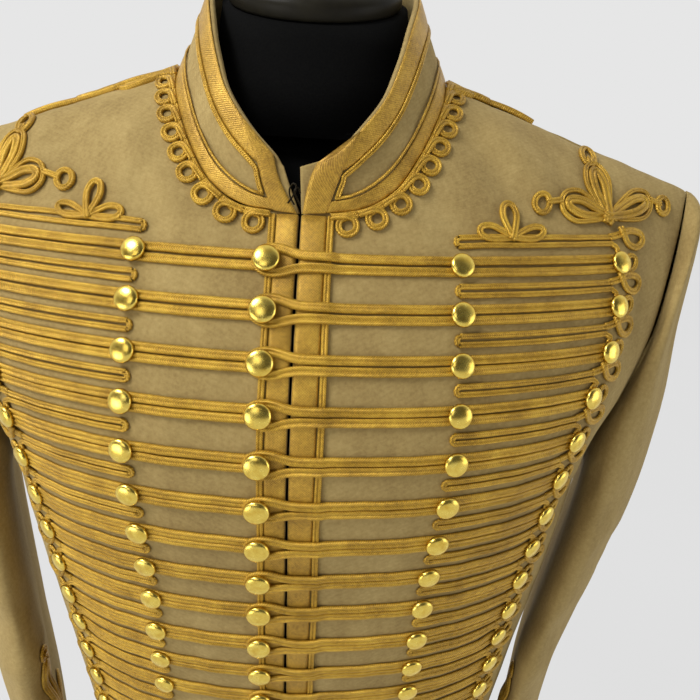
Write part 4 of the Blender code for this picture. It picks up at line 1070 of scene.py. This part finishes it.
# Half of the loop round a centre button: half width, height off the row, lift.
LOOP_ARM = ((22.0, 2.5, 0.6), (16.0, 2.5, 1.9), (9.0, 2.5, LOOP_LIFT), (4.0, 2.6, LOOP_LIFT),
            (-1.0, 3.3, LOOP_LIFT), (-6.0, 4.6, LOOP_LIFT), (-10.5, 5.3, LOOP_LIFT),
            (-15.0, 4.8, LOOP_LIFT), (-18.4, 2.9, LOOP_LIFT))
LOOP_END = (-19.6, 0.0, LOOP_LIFT)
# A right band's end under the button, in the same terms.
BAND_END = ((11.5, 2.6, 1.9), (14.5, 2.55, 1.7), (19.5, 2.45, 0.6))
# Across, up and lift from the place where a hairpin meets the side column: the eye, and the run
# that falls from it; then from the side button: the hairpin's end and the small loop.
EYE = ((-6.0, 1.9, 0.45), (-1.0, 2.6, 0.7), (5.0, 4.4, 1.4), (12.0, 4.6, 0.9), (17.6, 2.4, 0.6),
       (18.4, -1.8, 0.6), (14.2, -4.6, 0.6), (8.2, -3.0, 0.6), (4.6, 0.4, 0.9), (1.6, 4.0, 2.1),
       (0.6, 6.8, 1.4))
FALL = ((-1.6, -4.6, 0.9), (-4.6, -2.5, 0.6), (-9.0, -1.9, 0.45))
DROP = ((0.6, 2.4, 0.9), (-0.8, 5.2, 0.9))
SMALL_LOOP = ((6.4, -3.4, 0.5), (10.2, -4.2, 0.5), (13.6, -2.0, 0.5), (13.8, 2.0, 0.5),
              (10.6, 4.2, 0.5), (7.4, 2.8, 0.5), (5.6, -0.4, 0.5))
# Half of a hairpin's round closed end, towards the centre.
PIN_END = ((4.5, 1.9), (1.9, 1.9), (0.5, 1.35), (0.0, 0.0))


def front_of(side):
    """The surface of one front, for a strip."""
    return lambda x, z, lift: on_front(side, x, z, lift)


def stretched(side, x, z, outline):
    """Places from offsets in cloth millimetres across and up, and their lifts."""
    one = on_front(side, np.array([x - 1.0, x + 1.0, x, x]), np.array([z, z, z - 1.0, z + 1.0]))
    wide, tall = np.linalg.norm(one[1] - one[0]) / 2, np.linalg.norm(one[3] - one[2]) / 2
    return [(x + a / wide, z + b / tall, lift) for a, b, lift in outline]


def row_parts(side, k):
    """Everything of one row on one front: band, hairpin with its eye, small loop, buttons."""
    z = row_z[k]
    above_z = z + HAIRPIN_ABOVE_FIRST if k == 0 else (z + row_z[k - 1]) / 2
    mid, outer = float(smooth(MID_COLUMN, z)), float(smooth(SIDE_COLUMN, z))
    high = float(smooth(SIDE_COLUMN, above_z))
    end, near = outer + BAND_PAST, (mid + BAND_NEAR[side]) / 2
    waver = ROW_WAVER * math.sin(2.1 * k + side)
    parts = []

    def band(run):
        path = spline([(x, z + off, lift) for x, off, lift in run], 1.9)
        parts.append(strip(front_of(side), path, ROW_BRAID))

    if side == LEFT:
        run = [(end, BRAID_APART, BAND_LIFT),
               ((mid + end) / 2, BRAID_APART + waver * 0.5, BAND_LIFT),
               (mid, BRAID_APART, BAND_LIFT),
               (near, BRAID_APART - waver * 0.3, BAND_LIFT), *LOOP_ARM]
        band(run + [LOOP_END] + [(x, -off, lift) for x, off, lift in reversed(run)])
    else:
        run = [*BAND_END, (near, BRAID_APART + waver * 0.3, BAND_LIFT),
               (mid, BRAID_APART, BAND_LIFT),
               ((mid + end) / 2, BRAID_APART + waver * 0.4, BAND_LIFT),
               (end, BRAID_APART, BAND_LIFT)]
        band(run)
        band([(x, -off, lift) for x, off, lift in run])
    eye = stretched(side, high, above_z, EYE)
    start, half_way = mid - HAIRPIN_PAST + waver, (high + mid) / 2
    path = stretched(side, outer, z, DROP) + stretched(side, high, above_z, FALL)
    path.append((half_way, above_z - HAIRPIN_APART + waver * 0.4, BAND_LIFT))
    path += [(start + x, above_z - off, BAND_LIFT) for x, off in PIN_END]
    path += [(start + x, above_z + off, BAND_LIFT) for x, off in PIN_END[-2::-1]]
    path.append((half_way, above_z + HAIRPIN_APART - waver * 0.3, BAND_LIFT))
    for places, step, outline in (
            (path + eye[:2], 1.25, HAIRPIN_BRAID), (eye, 1.1, EYE_BRAID),
            (stretched(side, outer, z, SMALL_LOOP), 1.0, SMALL_BRAID)):
        parts.append(strip(front_of(side), spline(places, step), outline))
    if side == RIGHT:
        parts.append(button(side, CENTRE_BUTTON_X, z, *CENTRE_BUTTON))
    parts += [button(side, x, z, *OTHER_BUTTON) for x in (mid, outer)]
    return parts


# %% [markdown]
# ## The small trefoil
#
# Over the first hairpin stands a small three-leaved knot of one thin braid. Leaves are drawn by
# one rule: out from the crossing along one edge, round the tip and back along the other.

# %% Leaves
def leaf(crossing, tip, width, lift, over, tail=0.0):
    """Path of one leaf of a knot, from its crossing round its tip and back over itself.

    Over is how much higher it comes back, and tail how far both ends run on.
    """
    cx, cz = crossing
    reach = math.hypot(tip[0] - cx, tip[1] - cz)
    along = np.array([(tip[0] - cx) / reach, (tip[1] - cz) / reach])
    across = np.array([-along[1], along[0]])
    shape = ((-tail, -tail * 0.7, 0.3), (0.0, 0.0, 0.2), (0.32 * reach, 0.3 * width, 0.0),
             (0.66 * reach, 0.5 * width, 0.0), (0.92 * reach, 0.34 * width, 0.0), (reach, 0.0, 0.0),
             (0.92 * reach, -0.34 * width, 0.0), (0.66 * reach, -0.5 * width, 0.0),
             (0.32 * reach, -0.3 * width, 0.1), (0.0, 0.0, 1.0), (-tail, tail * 0.7, 0.8))
    return [(cx + along[0] * a + across[0] * b, cz + along[1] * a + across[1] * b,
             lift + over * c) for a, b, c in shape]


SMALL_KNOT, LEAF_BRAID = (107.0, -8.0), braid_outline(3.5, 1.5)
# Tip and width of each leaf.
SMALL_LEAVES = (((89.5, -4.5), 6.0), ((124.5, -5.0), 5.6), ((105.0, 8.2), 8.0))


def small_trefoil(side):
    parts = []
    for k, (tip, width) in enumerate(SMALL_LEAVES):
        path = leaf(SMALL_KNOT, tip, width, 0.7 + 0.35 * k, 0.5, tail=1.2)
        parts.append(strip(front_of(side), spline(path, 1.0), LEAF_BRAID))
    return parts


# %% Rows of braid
total = 0
for side, word in SIDES.items():
    for k in range(ROWS):
        parts = row_parts(side, k)
        if k == 0:
            parts += small_trefoil(side)
        name = f"row_{word}_{k + 1:02d}"
        obj = build(f"braid_{name}", parts, [BRAID, BRASS])
        dress(obj, name)
        total += sum(len(f) * (f.shape[1] - 2) for p in parts for f, _ in p["faces"])
print("triangles in the rows:", total)

# %% [markdown]
# ## Lace down the opening and round the collar
#
# Woven gold lace, 10 to 12 mm wide, is stitched flat on both sides of the opening, with one
# narrow braid beside it. The same lace frames the collar. Its edges stay a little thinner than
# its middle, because a woven edge is pressed down by its stitches.

# %% Edge lace
# Half width of the lace's two edges, and of the middle of the braid beside it.
EDGE_LACE = {LEFT: (0.6, 12.6, 14.7), RIGHT: (1.2, 11.6, 13.7)}
LAY, LACE_THICK, BESIDE_BRAID = 0.45, 1.0, braid_outline(3.4, 1.5)
LACE_TOP, LACE_STEP = -0.8, 3.0
LACE_HEIGHTS = np.append(np.arange(HEM_Z + 0.5, -2.0, LACE_STEP), LACE_TOP)
for side, word in SIDES.items():
    low, high, beside = EDGE_LACE[side]
    heights = LACE_HEIGHTS if side == LEFT else LACE_HEIGHTS[::-1]
    parts = [lace_part(lambda z, x, lift: on_front(side, x, z, lift), heights,
                       np.linspace(low, high, 11), LAY, LACE_THICK)]
    line = [(beside + 0.25 * math.sin(z / 19), z, 0.4) for z in LACE_HEIGHTS]
    parts.append(strip(front_of(side), line, BESIDE_BRAID, finish=1))
    obj = build(f"edge_lace_woven_{word}", parts, [LACE, BRAID])
    dress(obj, f"edge_lace_{word}")

# %% Collar lace
COLLAR_LAY, COLLAR_LACE_THICK = 0.6, 0.9
# Shares of the collar's height.
RIM_LACE, BASE_LACE = (0.70, 0.985), (0.008, 0.235)
INNER_BRAID_SHARE, SEAM_CORD_SHARE, CORNER_SHARES = 0.655, 0.275, (0.29, 0.42, 0.54, 0.62)
# Where the end lace starts at the seam, how much further at the rim, and its width there.
END_LACE = {LEFT: (0.4, 4.0, 11.5), RIGHT: (0.6, 7.0, 11.5)}
# Millimetres from one place round the collar to the next at the seam, near the front, and how
# many fewer they are at the rim.
END_STEP, END_STEP_LESS = 28.0, 20.0


def collar_end(side, share, inward):
    """Place round the collar at a distance in from its front corner."""
    start, lean, _ = END_LACE[side]
    reach = (inward + start + lean * share) / (END_STEP - END_STEP_LESS * share)
    return reach if side == RIGHT else COLLAR_ENDS - reach


parts = []
for low, high in (RIM_LACE, BASE_LACE):
    around = np.linspace(collar_end(LEFT, high, 2.0), collar_end(RIGHT, high, 2.0), 240)
    parts.append(lace_part(on_collar, around, np.linspace(low, high, 9), COLLAR_LAY,
                           COLLAR_LACE_THICK))
for side in SIDES:
    inward = np.linspace(0.0, END_LACE[side][2], 9)
    parts.append(lace_part(lambda s, d, lift: on_collar(collar_end(side, s, d), s, lift),
                           np.linspace(BASE_LACE[0], RIM_LACE[1], 30),
                           inward[::-1] if side == LEFT else inward, COLLAR_LAY + 0.45,
                           COLLAR_LACE_THICK))
corners = [[(collar_end(side, share, 14.0), share, 0.5) for share in CORNER_SHARES]
           for side in (RIGHT, LEFT)]
top = [(a, INNER_BRAID_SHARE, 0.5) for a in np.linspace(1.6, COLLAR_ENDS - 1.6, 40)]
parts.append(strip(on_collar, spline(corners[0] + top + corners[1][::-1], 0.05),
                   braid_outline(2.6, 1.4), finish=1))
low = np.linspace(collar_end(RIGHT, SEAM_CORD_SHARE, 13.0),
                  collar_end(LEFT, SEAM_CORD_SHARE, 13.0), 60)
parts.append(strip(on_collar, [(a, SEAM_CORD_SHARE, 0.5) for a in low],
                   cord_outline(1.5, 1.2, 8), finish=1))
obj = build("collar_lace_woven", parts, [LACE, BRAID])
dress(obj, "collar_lace")

# %% [markdown]
# ## Looped cord round the collar seam
#
# One thin braid runs along the seam, and a second makes a row of loops outside it, each a
# small ring that crosses over its own start. The ring is drawn once, in the directions of the
# seam, and repeated at even steps.

# %% Neck loops
RING_OUT, RING_PITCH, RING_FIRST = 7.4, 12.6, 5.0
NECK_CORD_START, NECK_CORD_OUT, SEAM_END = 17.0, 2.2, 5.75
LOOP_BRAID = braid_outline(3.4, 1.7)
# One ring with its two tails: along the seam, out from it, and lift.
RING = ((5.6, -4.9, 0.5), (1.6, -4.3, 0.5), (-2.8, -3.2, 0.5), (-4.3, 0.2, 0.5),
        (-3.1, 3.4, 0.5), (0.0, 4.6, 0.5), (3.1, 3.4, 0.5), (4.3, 0.2, 0.5),
        (3.2, -2.8, 0.9), (0.2, -4.2, 1.8), (-3.6, -4.8, 1.4), (-7.4, -5.2, 0.9))


def seam_line(side, out):
    """Places along the collar seam, moved out from it over the cloth."""
    table = [(k, x, z) for k, (x, z) in enumerate(NECKLINE)]
    at = np.linspace(0.0, SEAM_END, 240)
    x, z = smooth(table, at, 1), smooth(table, at, 2)
    points = on_front(side, x, z)
    run = np.gradient(np.stack([x, z], 1), axis=0)
    wide = np.linalg.norm(on_front(side, x + 0.5, z) - on_front(side, x - 0.5, z), axis=1)
    tall = np.linalg.norm(on_front(side, x, z + 0.5) - on_front(side, x, z - 0.5), axis=1)
    run = unit(run * np.stack([wide, tall], 1))
    line = np.stack([x + run[:, 1] * out / wide, z - run[:, 0] * out / tall], 1)
    return line, lengths(points[:, None], 0)[:, 0], run, wide, tall


for side, word in SIDES.items():
    line, run, _, _, _ = seam_line(side, NECK_CORD_OUT)
    keep = run >= NECK_CORD_START
    path = np.column_stack([line[keep], np.full(keep.sum(), LAY)])
    parts = [strip(front_of(side), spline(path[::6], 1.5), LOOP_BRAID)]
    line, run, way, wide, tall = seam_line(side, RING_OUT)
    at = NECK_CORD_START + RING_FIRST
    while at < run[-1]:
        k = int(np.argmin(np.abs(run - at)))
        tx, tz = way[k]
        path = [(line[k, 0] + (tx * a + tz * b) / wide[k],
                 line[k, 1] + (tz * a - tx * b) / tall[k], lift) for a, b, lift in RING]
        parts.append(strip(front_of(side), spline(path, 1.0), LOOP_BRAID))
        at += RING_PITCH
    obj = build(f"neck_loops_cord_{word}", parts, [BRAID])
    dress(obj, f"neck_loops_{word}")

# %% [markdown]
# ## The large knots on the chest and on the cuffs
#
# Each large knot is three leaves of broad braid with a thinner braid laid round them, and a
# ring at the tip of each leaf. The cuff has two pointed braids and a knot with one ring above.

# %% Large knots
BIG_KNOT = (165.0, 1.5)
# Tip and width of each leaf, and the centre of the ring beyond it.
BIG_LEAVES = (
    ((140.5, 9.0), 6.6, (124.6, 8.2)),
    ((159.4, 25.2), 6.6, (158.6, 33.0)),
    ((191.5, 9.6), 6.4, (205.5, 7.6)),
)
KNOT_BRAID, EDGE_BRAID = braid_outline(5.0, 2.0), braid_outline(2.7, 1.6)
RING_RADIUS, EDGE_REACH, EDGE_WIDER = 4.4, 1.16, 8.4


def ring_path(centre, lift, wide):
    turns = np.linspace(0, 2 * np.pi, 20, endpoint=False)
    return [(centre[0] + RING_RADIUS / wide * math.cos(a), centre[1] + RING_RADIUS * math.sin(a),
             lift) for a in turns]


def knot_parts(surface, crossing, leaves, wide, lift):
    """Leaves with their outer braid and rings; wide is the cloth's stretch across."""
    parts = []
    for k, (tip, width, ring) in enumerate(leaves):
        path = leaf(crossing, tip, width, lift + 0.25 * k, 1.1, tail=3.0)
        parts.append(strip(surface, spline(path, 1.1), KNOT_BRAID))
        cx, cz = crossing
        fx, fz = cx + (tip[0] - cx) * EDGE_REACH, cz + (tip[1] - cz) * EDGE_REACH
        edge = leaf(crossing, (fx, fz), width + EDGE_WIDER, lift + 0.1, 0.0)[1:-1]
        parts.append(strip(surface, spline(edge, 1.1), EDGE_BRAID))
        if ring:
            parts.append(strip(surface, ring_path(ring, lift, wide), LOOP_BRAID, closed=True))
            between = [(fx + (ring[0] - fx) * s, fz + (ring[1] - fz) * s, lift + 0.3)
                       for s in (0.0, 0.5, 0.8)]
            parts.append(strip(surface, spline(between, 1.0), LOOP_BRAID))
    return parts


for side, word in SIDES.items():
    parts = knot_parts(front_of(side), BIG_KNOT, BIG_LEAVES, 1.05, 0.6)
    obj = build(f"shoulder_knot_cord_{word}", parts, [BRAID])
    dress(obj, f"shoulder_knot_{word}")

# %% Cuff knots
CUFF_POINT = (
    (-92.0, -504.0), (-74.0, -477.0), (-58.0, -452.0), (-44.0, -428.0), (-32.0, -410.0),
    (-29.5, -407.5), (-27.0, -410.0), (-24.0, -415.0), (-16.0, -428.0), (-9.0, -441.0),
)
CUFF_CROSSING = (-29.5, -398.0)
CUFF_LEAVES = (((-55.0, -386.0), 7.5, None), ((-8.0, -384.0), 7.0, None),
               ((-21.5, -338.0), 9.0, (-18.5, -325.5)))
CUFF_BRAID, CUFF_APART = braid_outline(4.4, 1.4), 2.88
for side, word in SIDES.items():
    surface = lambda a, z, lift: on_sleeve(side, a, z, lift)
    parts = knot_parts(surface, CUFF_CROSSING, CUFF_LEAVES, 1.0, 0.6)
    for out in (-CUFF_APART, CUFF_APART):
        path = [(a, z + out, 0.5) for a, z in CUFF_POINT]
        parts.append(strip(surface, spline(path, 1.6), CUFF_BRAID))
    obj = build(f"cuff_knot_cord_{word}", parts, [BRAID])
    dress(obj, f"cuff_knot_{word}")

# %% [markdown]
# ## Cords on the shoulder seam
#
# Braid is laid along the shoulder seam: three strands beside the collar, then two, then one that
# thins out. A strand that ends is tucked under its neighbour. The strands lie on the front's own
# curve, which rolls forward from the seam, and are sunk a little so that no light passes under.

# %% Shoulder cords
# Half width where a strand ends, millimetres in front of the seam, and width.
SHOULDER_STRANDS = {
    LEFT: ((129.0, 1.6, 4.2), (101.0, 7.0, 6.0), (90.0, 13.2, 5.4)),
    RIGHT: ((167.0, 1.6, 4.4), (134.0, 7.0, 5.8), (107.0, 13.6, 6.2)),
}
STRAND_START, STRAND_HEIGHT = 76.5, 3.4
TUCK, TUCK_BACK = 9.0, 4.0
WAVER, WAVER_TURN = 0.7, 6.0


def on_shoulder(side, x, fore, lift):
    """Points in front of the shoulder seam, lifted off the cloth."""
    ridge = ridge_height(x)
    half = smooth(HALF_WIDTH, ridge)
    across = (1 - (x / half) ** WIDTH_POWER) ** (1 / WIDTH_POWER)
    reach = (MID_Y - smooth(FRONT_DEPTH, ridge)) * across
    share = np.clip(fore / reach, -0.9, 0.9)
    level = np.sqrt(1 - share**2)
    normal = unit(np.stack([SHOULDER_SLOPE * side + 0 * x,
                            -SHOULDER_ROLL * share / level / reach, 1 + 0 * x], -1))
    foot = np.stack([x * side, MID_Y - fore, ridge - SHOULDER_ROLL * (1 - level)], -1)
    return foot + normal * np.broadcast_to(lift, x.shape)[..., None]


for side, word in SIDES.items():
    parts = []
    for k, (end, fore, width) in enumerate(SHOULDER_STRANDS[side]):
        x = np.arange(STRAND_START, end, 1.3)
        tuck = np.clip((x - end + TUCK) / TUCK, 0, 1) ** 2
        turn = x / WAVER_TURN + 2 * k
        place = fore + WAVER * np.sin(turn) - tuck * (TUCK_BACK if k else 0.0)
        lift = (-0.6 if k == 1 else -0.9) + 0.4 * np.cos(turn) - 0.6 * tuck
        parts.append(strip(lambda x, fore, lift: on_shoulder(side, x, fore, lift),
                           np.stack([x, place, lift], 1), braid_outline(width, STRAND_HEIGHT)))
    obj = build(f"shoulder_cords_{word}", parts, [BRAID])
    dress(obj, f"shoulder_cord_{word}")

# %% [markdown]
# ## Hook and eye
#
# The opening meets edge to edge, held by hooks from behind. The top one shows in the gap of the
# collar: two little loops of black wire.

# %% Hook and eye
WIRE_THICK = 0.9
WIRE_OUTLINE = cord_outline(WIRE_THICK, WIRE_THICK, 6)
HOOK_LOOPS = (
    ((-5.6, -88.5, 6.0), (-3.2, -90.0, 9.5), (-1.8, -89.0, 13.0), (-3.2, -87.6, 15.0),
     (-5.0, -87.8, 12.5), (-4.6, -88.8, 9.0), (-2.4, -90.2, 5.5)),
    ((0.4, -88.8, 5.0), (-1.4, -90.2, 8.5), (-2.6, -89.6, 11.8), (-1.2, -88.0, 13.2),
     (0.2, -88.6, 10.6)),
)
parts = []
for loop in HOOK_LOOPS:
    curve = spline([(x, z, y) for x, y, z in loop], 0.7)
    points = np.stack([curve[:, 0], curve[:, 2], curve[:, 1]], 1)
    run = unit(np.gradient(points, axis=0))
    side_way = unit(np.cross(run, (0.0, 1.0, 0.0)))
    out_way = np.cross(side_way, run)
    tube = (points[:, None] + side_way[:, None] * WIRE_OUTLINE[None, :, :1]
            + out_way[:, None] * (WIRE_OUTLINE[None, :, 1:2] - WIRE_THICK / 2))
    uv = np.zeros((len(tube), len(WIRE_OUTLINE) + 1, 2))
    parts.append(grid_part(tube[:, ::-1], uv, around=True))
obj = build("hook_and_eye", parts, [WIRE])
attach(obj, "root")

# %% [markdown]
# ## The dress form
#
# The form is a limbless body of revolution gone soft: a lofted stack of ovals, a little inside
# the jacket, with a neck and a tilted cap. A circle is laid at the foot and extruded upwards,
# ring after ring, and each new ring is moved to its oval.

# %% Form
FORM_SIDES = 64
FORM_ANGLES = np.linspace(0, 2 * np.pi, FORM_SIDES, endpoint=False)
# Height, half width, y of the front and of the back.
FORM_BODY = (
    (-680, 146.0, -76.0, 84.0), (-580, 152.0, -88.0, 92.0), (-480, 148.0, -87.0, 82.0),
    (-400, 142.0, -83.0, 63.0), (-320, 152.0, -91.0, 72.0), (-230, 164.0, -103.0, 84.0),
    (-150, 170.0, -113.0, 92.0), (-80, 176.0, -108.5, 94.0), (-20, 196.0, -98.0, 92.0),
    (28, 215.0, -77.0, 88.0), (55, 216.0, -64.0, 85.0),
)
FORM_ROLL, SHOULDER_REST, FORM_STEP = 260.0, 3.1, 14
FORM_NECK = ((35, 60.0, -55.0, 40.0), (62, 58.0, -51.0, 49.0), (80, 54.0, -47.0, 51.0))
NECK_TOP, NECK_TOP_Z, NECK_TILT = (51.0, -45.5, 49.5), 87.0, math.radians(20)
# Share of the neck's own width and depth, and height along its axis.
CAP_PROFILE = ((0.86, 0.3), (0.915, 0.8), (0.93, 2.0), (0.93, 7.0), (0.915, 9.0), (0.87, 10.8),
               (0.8, 12.2), (0.66, 13.9), (0.5, 15.0), (0.3, 15.7), (0.1, 15.95))


def form_ring(z):
    half, front, back = (float(smooth(FORM_BODY, z, c)) for c in (1, 2, 3))
    reach = min(half, NECK_X + (NECK_Z - SHOULDER_REST - z) / SHOULDER_SLOPE)
    x = reach * np.cos(FORM_ANGLES)
    drop = np.clip((ridge_height(x) - SHOULDER_REST - z) / FORM_ROLL, 0, 1)
    across = np.maximum(1 - (np.abs(x) / half) ** WIDTH_POWER, 0) ** (1 / WIDTH_POWER)
    share = across * np.sqrt(1 - (1 - drop) ** 2)
    depth = np.where(np.sin(FORM_ANGLES) > 0, back, front)
    return np.stack([x, MID_Y + (depth - MID_Y) * share, 0 * x + z], -1)


def neck_ring(half, front, back, z, tilt=0.0):
    y = (front + back) / 2 + (back - front) / 2 * np.sin(FORM_ANGLES)
    return np.stack([half * np.cos(FORM_ANGLES), y, z + (y - front) * math.tan(tilt)], -1)


def cap_ring(share, height):
    half, front, back = NECK_TOP
    depth = (back - front) / 2
    y = depth * share * np.sin(FORM_ANGLES)
    level = NECK_TOP_Z + depth * math.tan(NECK_TILT) + height * math.cos(NECK_TILT)
    middle = (front + back) / 2 - height * math.sin(NECK_TILT)
    return np.stack([half * share * np.cos(FORM_ANGLES), middle + y,
                     level + y * math.tan(NECK_TILT)], -1)


def loft(name, stacks, finish):
    """Closed bodies extruded up from circles, ring by ring, and joined in one object.

    The new vertices are sorted by height and by angle, which is the order of the rings.
    """
    objects = []
    for rings in stacks:
        bpy.ops.object.select_all(action="DESELECT")
        bpy.ops.mesh.primitive_circle_add(vertices=FORM_SIDES, radius=0.1, fill_type="NGON")
        obj = bpy.context.active_object
        bpy.ops.object.mode_set(mode="EDIT")
        bpy.ops.mesh.select_all(action="SELECT")
        for _ in rings[1:]:
            bpy.ops.mesh.extrude_region_move(TRANSFORM_OT_translate={"value": (0, 0, 0.01)})
        bpy.ops.object.mode_set(mode="OBJECT")
        points = (np.concatenate(rings) + (0, 0, PIT_HEIGHT)) * MM
        made = np.array([v.co for v in obj.data.vertices])
        around = np.mod(np.arctan2(made[:, 1], made[:, 0]) + 1e-4, 2 * np.pi)
        order = np.lexsort((np.round(around, 3), np.round(made[:, 2], 4)))
        placed = np.empty_like(made)
        placed[order] = points
        obj.data.vertices.foreach_set("co", placed.astype(np.float32).ravel())
        obj.data.update()
        bpy.ops.object.mode_set(mode="EDIT")
        bpy.ops.mesh.select_all(action="SELECT")
        bpy.ops.mesh.normals_make_consistent(inside=False)
        bpy.ops.object.mode_set(mode="OBJECT")
        bpy.ops.object.shade_smooth()
        objects.append(obj)
    bpy.ops.object.select_all(action="DESELECT")
    for obj in objects:
        obj.select_set(True)
    bpy.context.view_layer.objects.active = objects[0]
    if len(objects) > 1:
        bpy.ops.object.join()
    obj = objects[0]
    bpy.ops.object.transform_apply(location=True, rotation=True, scale=True)
    obj.name = name
    obj.data.materials.clear()
    obj.data.materials.append(finish)
    obj.select_set(False)
    return obj


torso = [form_ring(z) for z in np.append(np.arange(-680, 50, FORM_STEP), 55.0)]
neck = [neck_ring(*row[1:], row[0]) for row in FORM_NECK]
neck.append(neck_ring(*NECK_TOP, NECK_TOP_Z, NECK_TILT))
form = loft("form_body", [torso, neck], JERSEY)
dress(form, "form_torso")
cap = loft("form_cap", [[cap_ring(*row) for row in CAP_PROFILE]], SATIN)
dress(cap, "form_neck_cap")
print("form height in metres:", round(form.dimensions.z, 4))

# %% [markdown]
# ## Studio
#
# A pale floor and a pale even background, as behind a shop photograph. One large soft lamp
# hangs high in front on the left. Three weak ones fill from the front, from low on the left and
# from the right, and the background itself lights the rest.

# %% Floor, background and lamps
bpy.ops.object.select_all(action="DESELECT")
bpy.ops.mesh.primitive_circle_add(vertices=96, radius=9.0, fill_type="NGON", location=(0, 0, 0))
floor = bpy.context.active_object
floor.name = "studio_floor"
# Lit from behind like a light table, so that it stays as even as the background.
floor_finish, tree, shader = new_finish("lit_paper", Roughness=1.0, Specular_IOR_Level=0.0)
shader.inputs["Emission Color"].default_value = colour("DCDCDC")
shader.inputs["Emission Strength"].default_value = 1.0
paper = noise(tree, add(tree, "ShaderNodeTexCoord").outputs["Object"], 3.0, 2.0, 0.5)
tree.links.new(ramp(tree, paper, ((0.3, "383838"), (0.7, "3E3E3E"))),
               shader.inputs["Base Color"])
floor.data.materials.append(floor_finish)

world = bpy.data.worlds.new("pale_studio")
world.use_nodes = True
tree = world.node_tree
way = add(tree, "ShaderNodeTexCoord").outputs["Generated"]
fore = add(tree, "ShaderNodeSeparateXYZ", {"Vector": way}).outputs["Y"]
spread = maths(tree, "MULTIPLY_ADD", fore, 0.5, 0.5)
tree.links.new(ramp(tree, spread, ((0.0, "464646"), (0.28, "646464"), (0.5, "E6E6E6"))),
               tree.nodes["Background"].inputs["Color"])
bpy.context.scene.world = world
bpy.context.scene.view_settings.view_transform = "Standard"


def soft_lamp(name, place, target, size, watts):
    data = bpy.data.lights.new(name, "AREA")
    data.shape = "RECTANGLE"
    data.size, data.size_y = size
    data.energy = watts
    lamp = bpy.data.objects.new(name, data)
    lamp.location = place
    away = Vector(target) - Vector(place)
    lamp.rotation_mode = "QUATERNION"
    lamp.rotation_quaternion = away.to_track_quat("-Z", "Y")
    bpy.context.scene.collection.objects.link(lamp)


# Name, place, target and size in metres, and watts.
for lamp in (("key_lamp", (-1.1, -0.7, 2.0), (0, 0, 0.55), (0.8, 0.6), 30),
             ("front_lamp", (-0.5, -1.6, 1.3), (0, 0, 0.5), (0.7, 0.7), 3),
             ("low_lamp", (-1.2, -1.1, 0.35), (-0.2, 0, 0.2), (0.9, 0.7), 7),
             ("side_lamp", (1.6, -0.6, 0.6), (0.2, 0, 0.4), (0.9, 0.9), 5)):
    soft_lamp(*lamp)
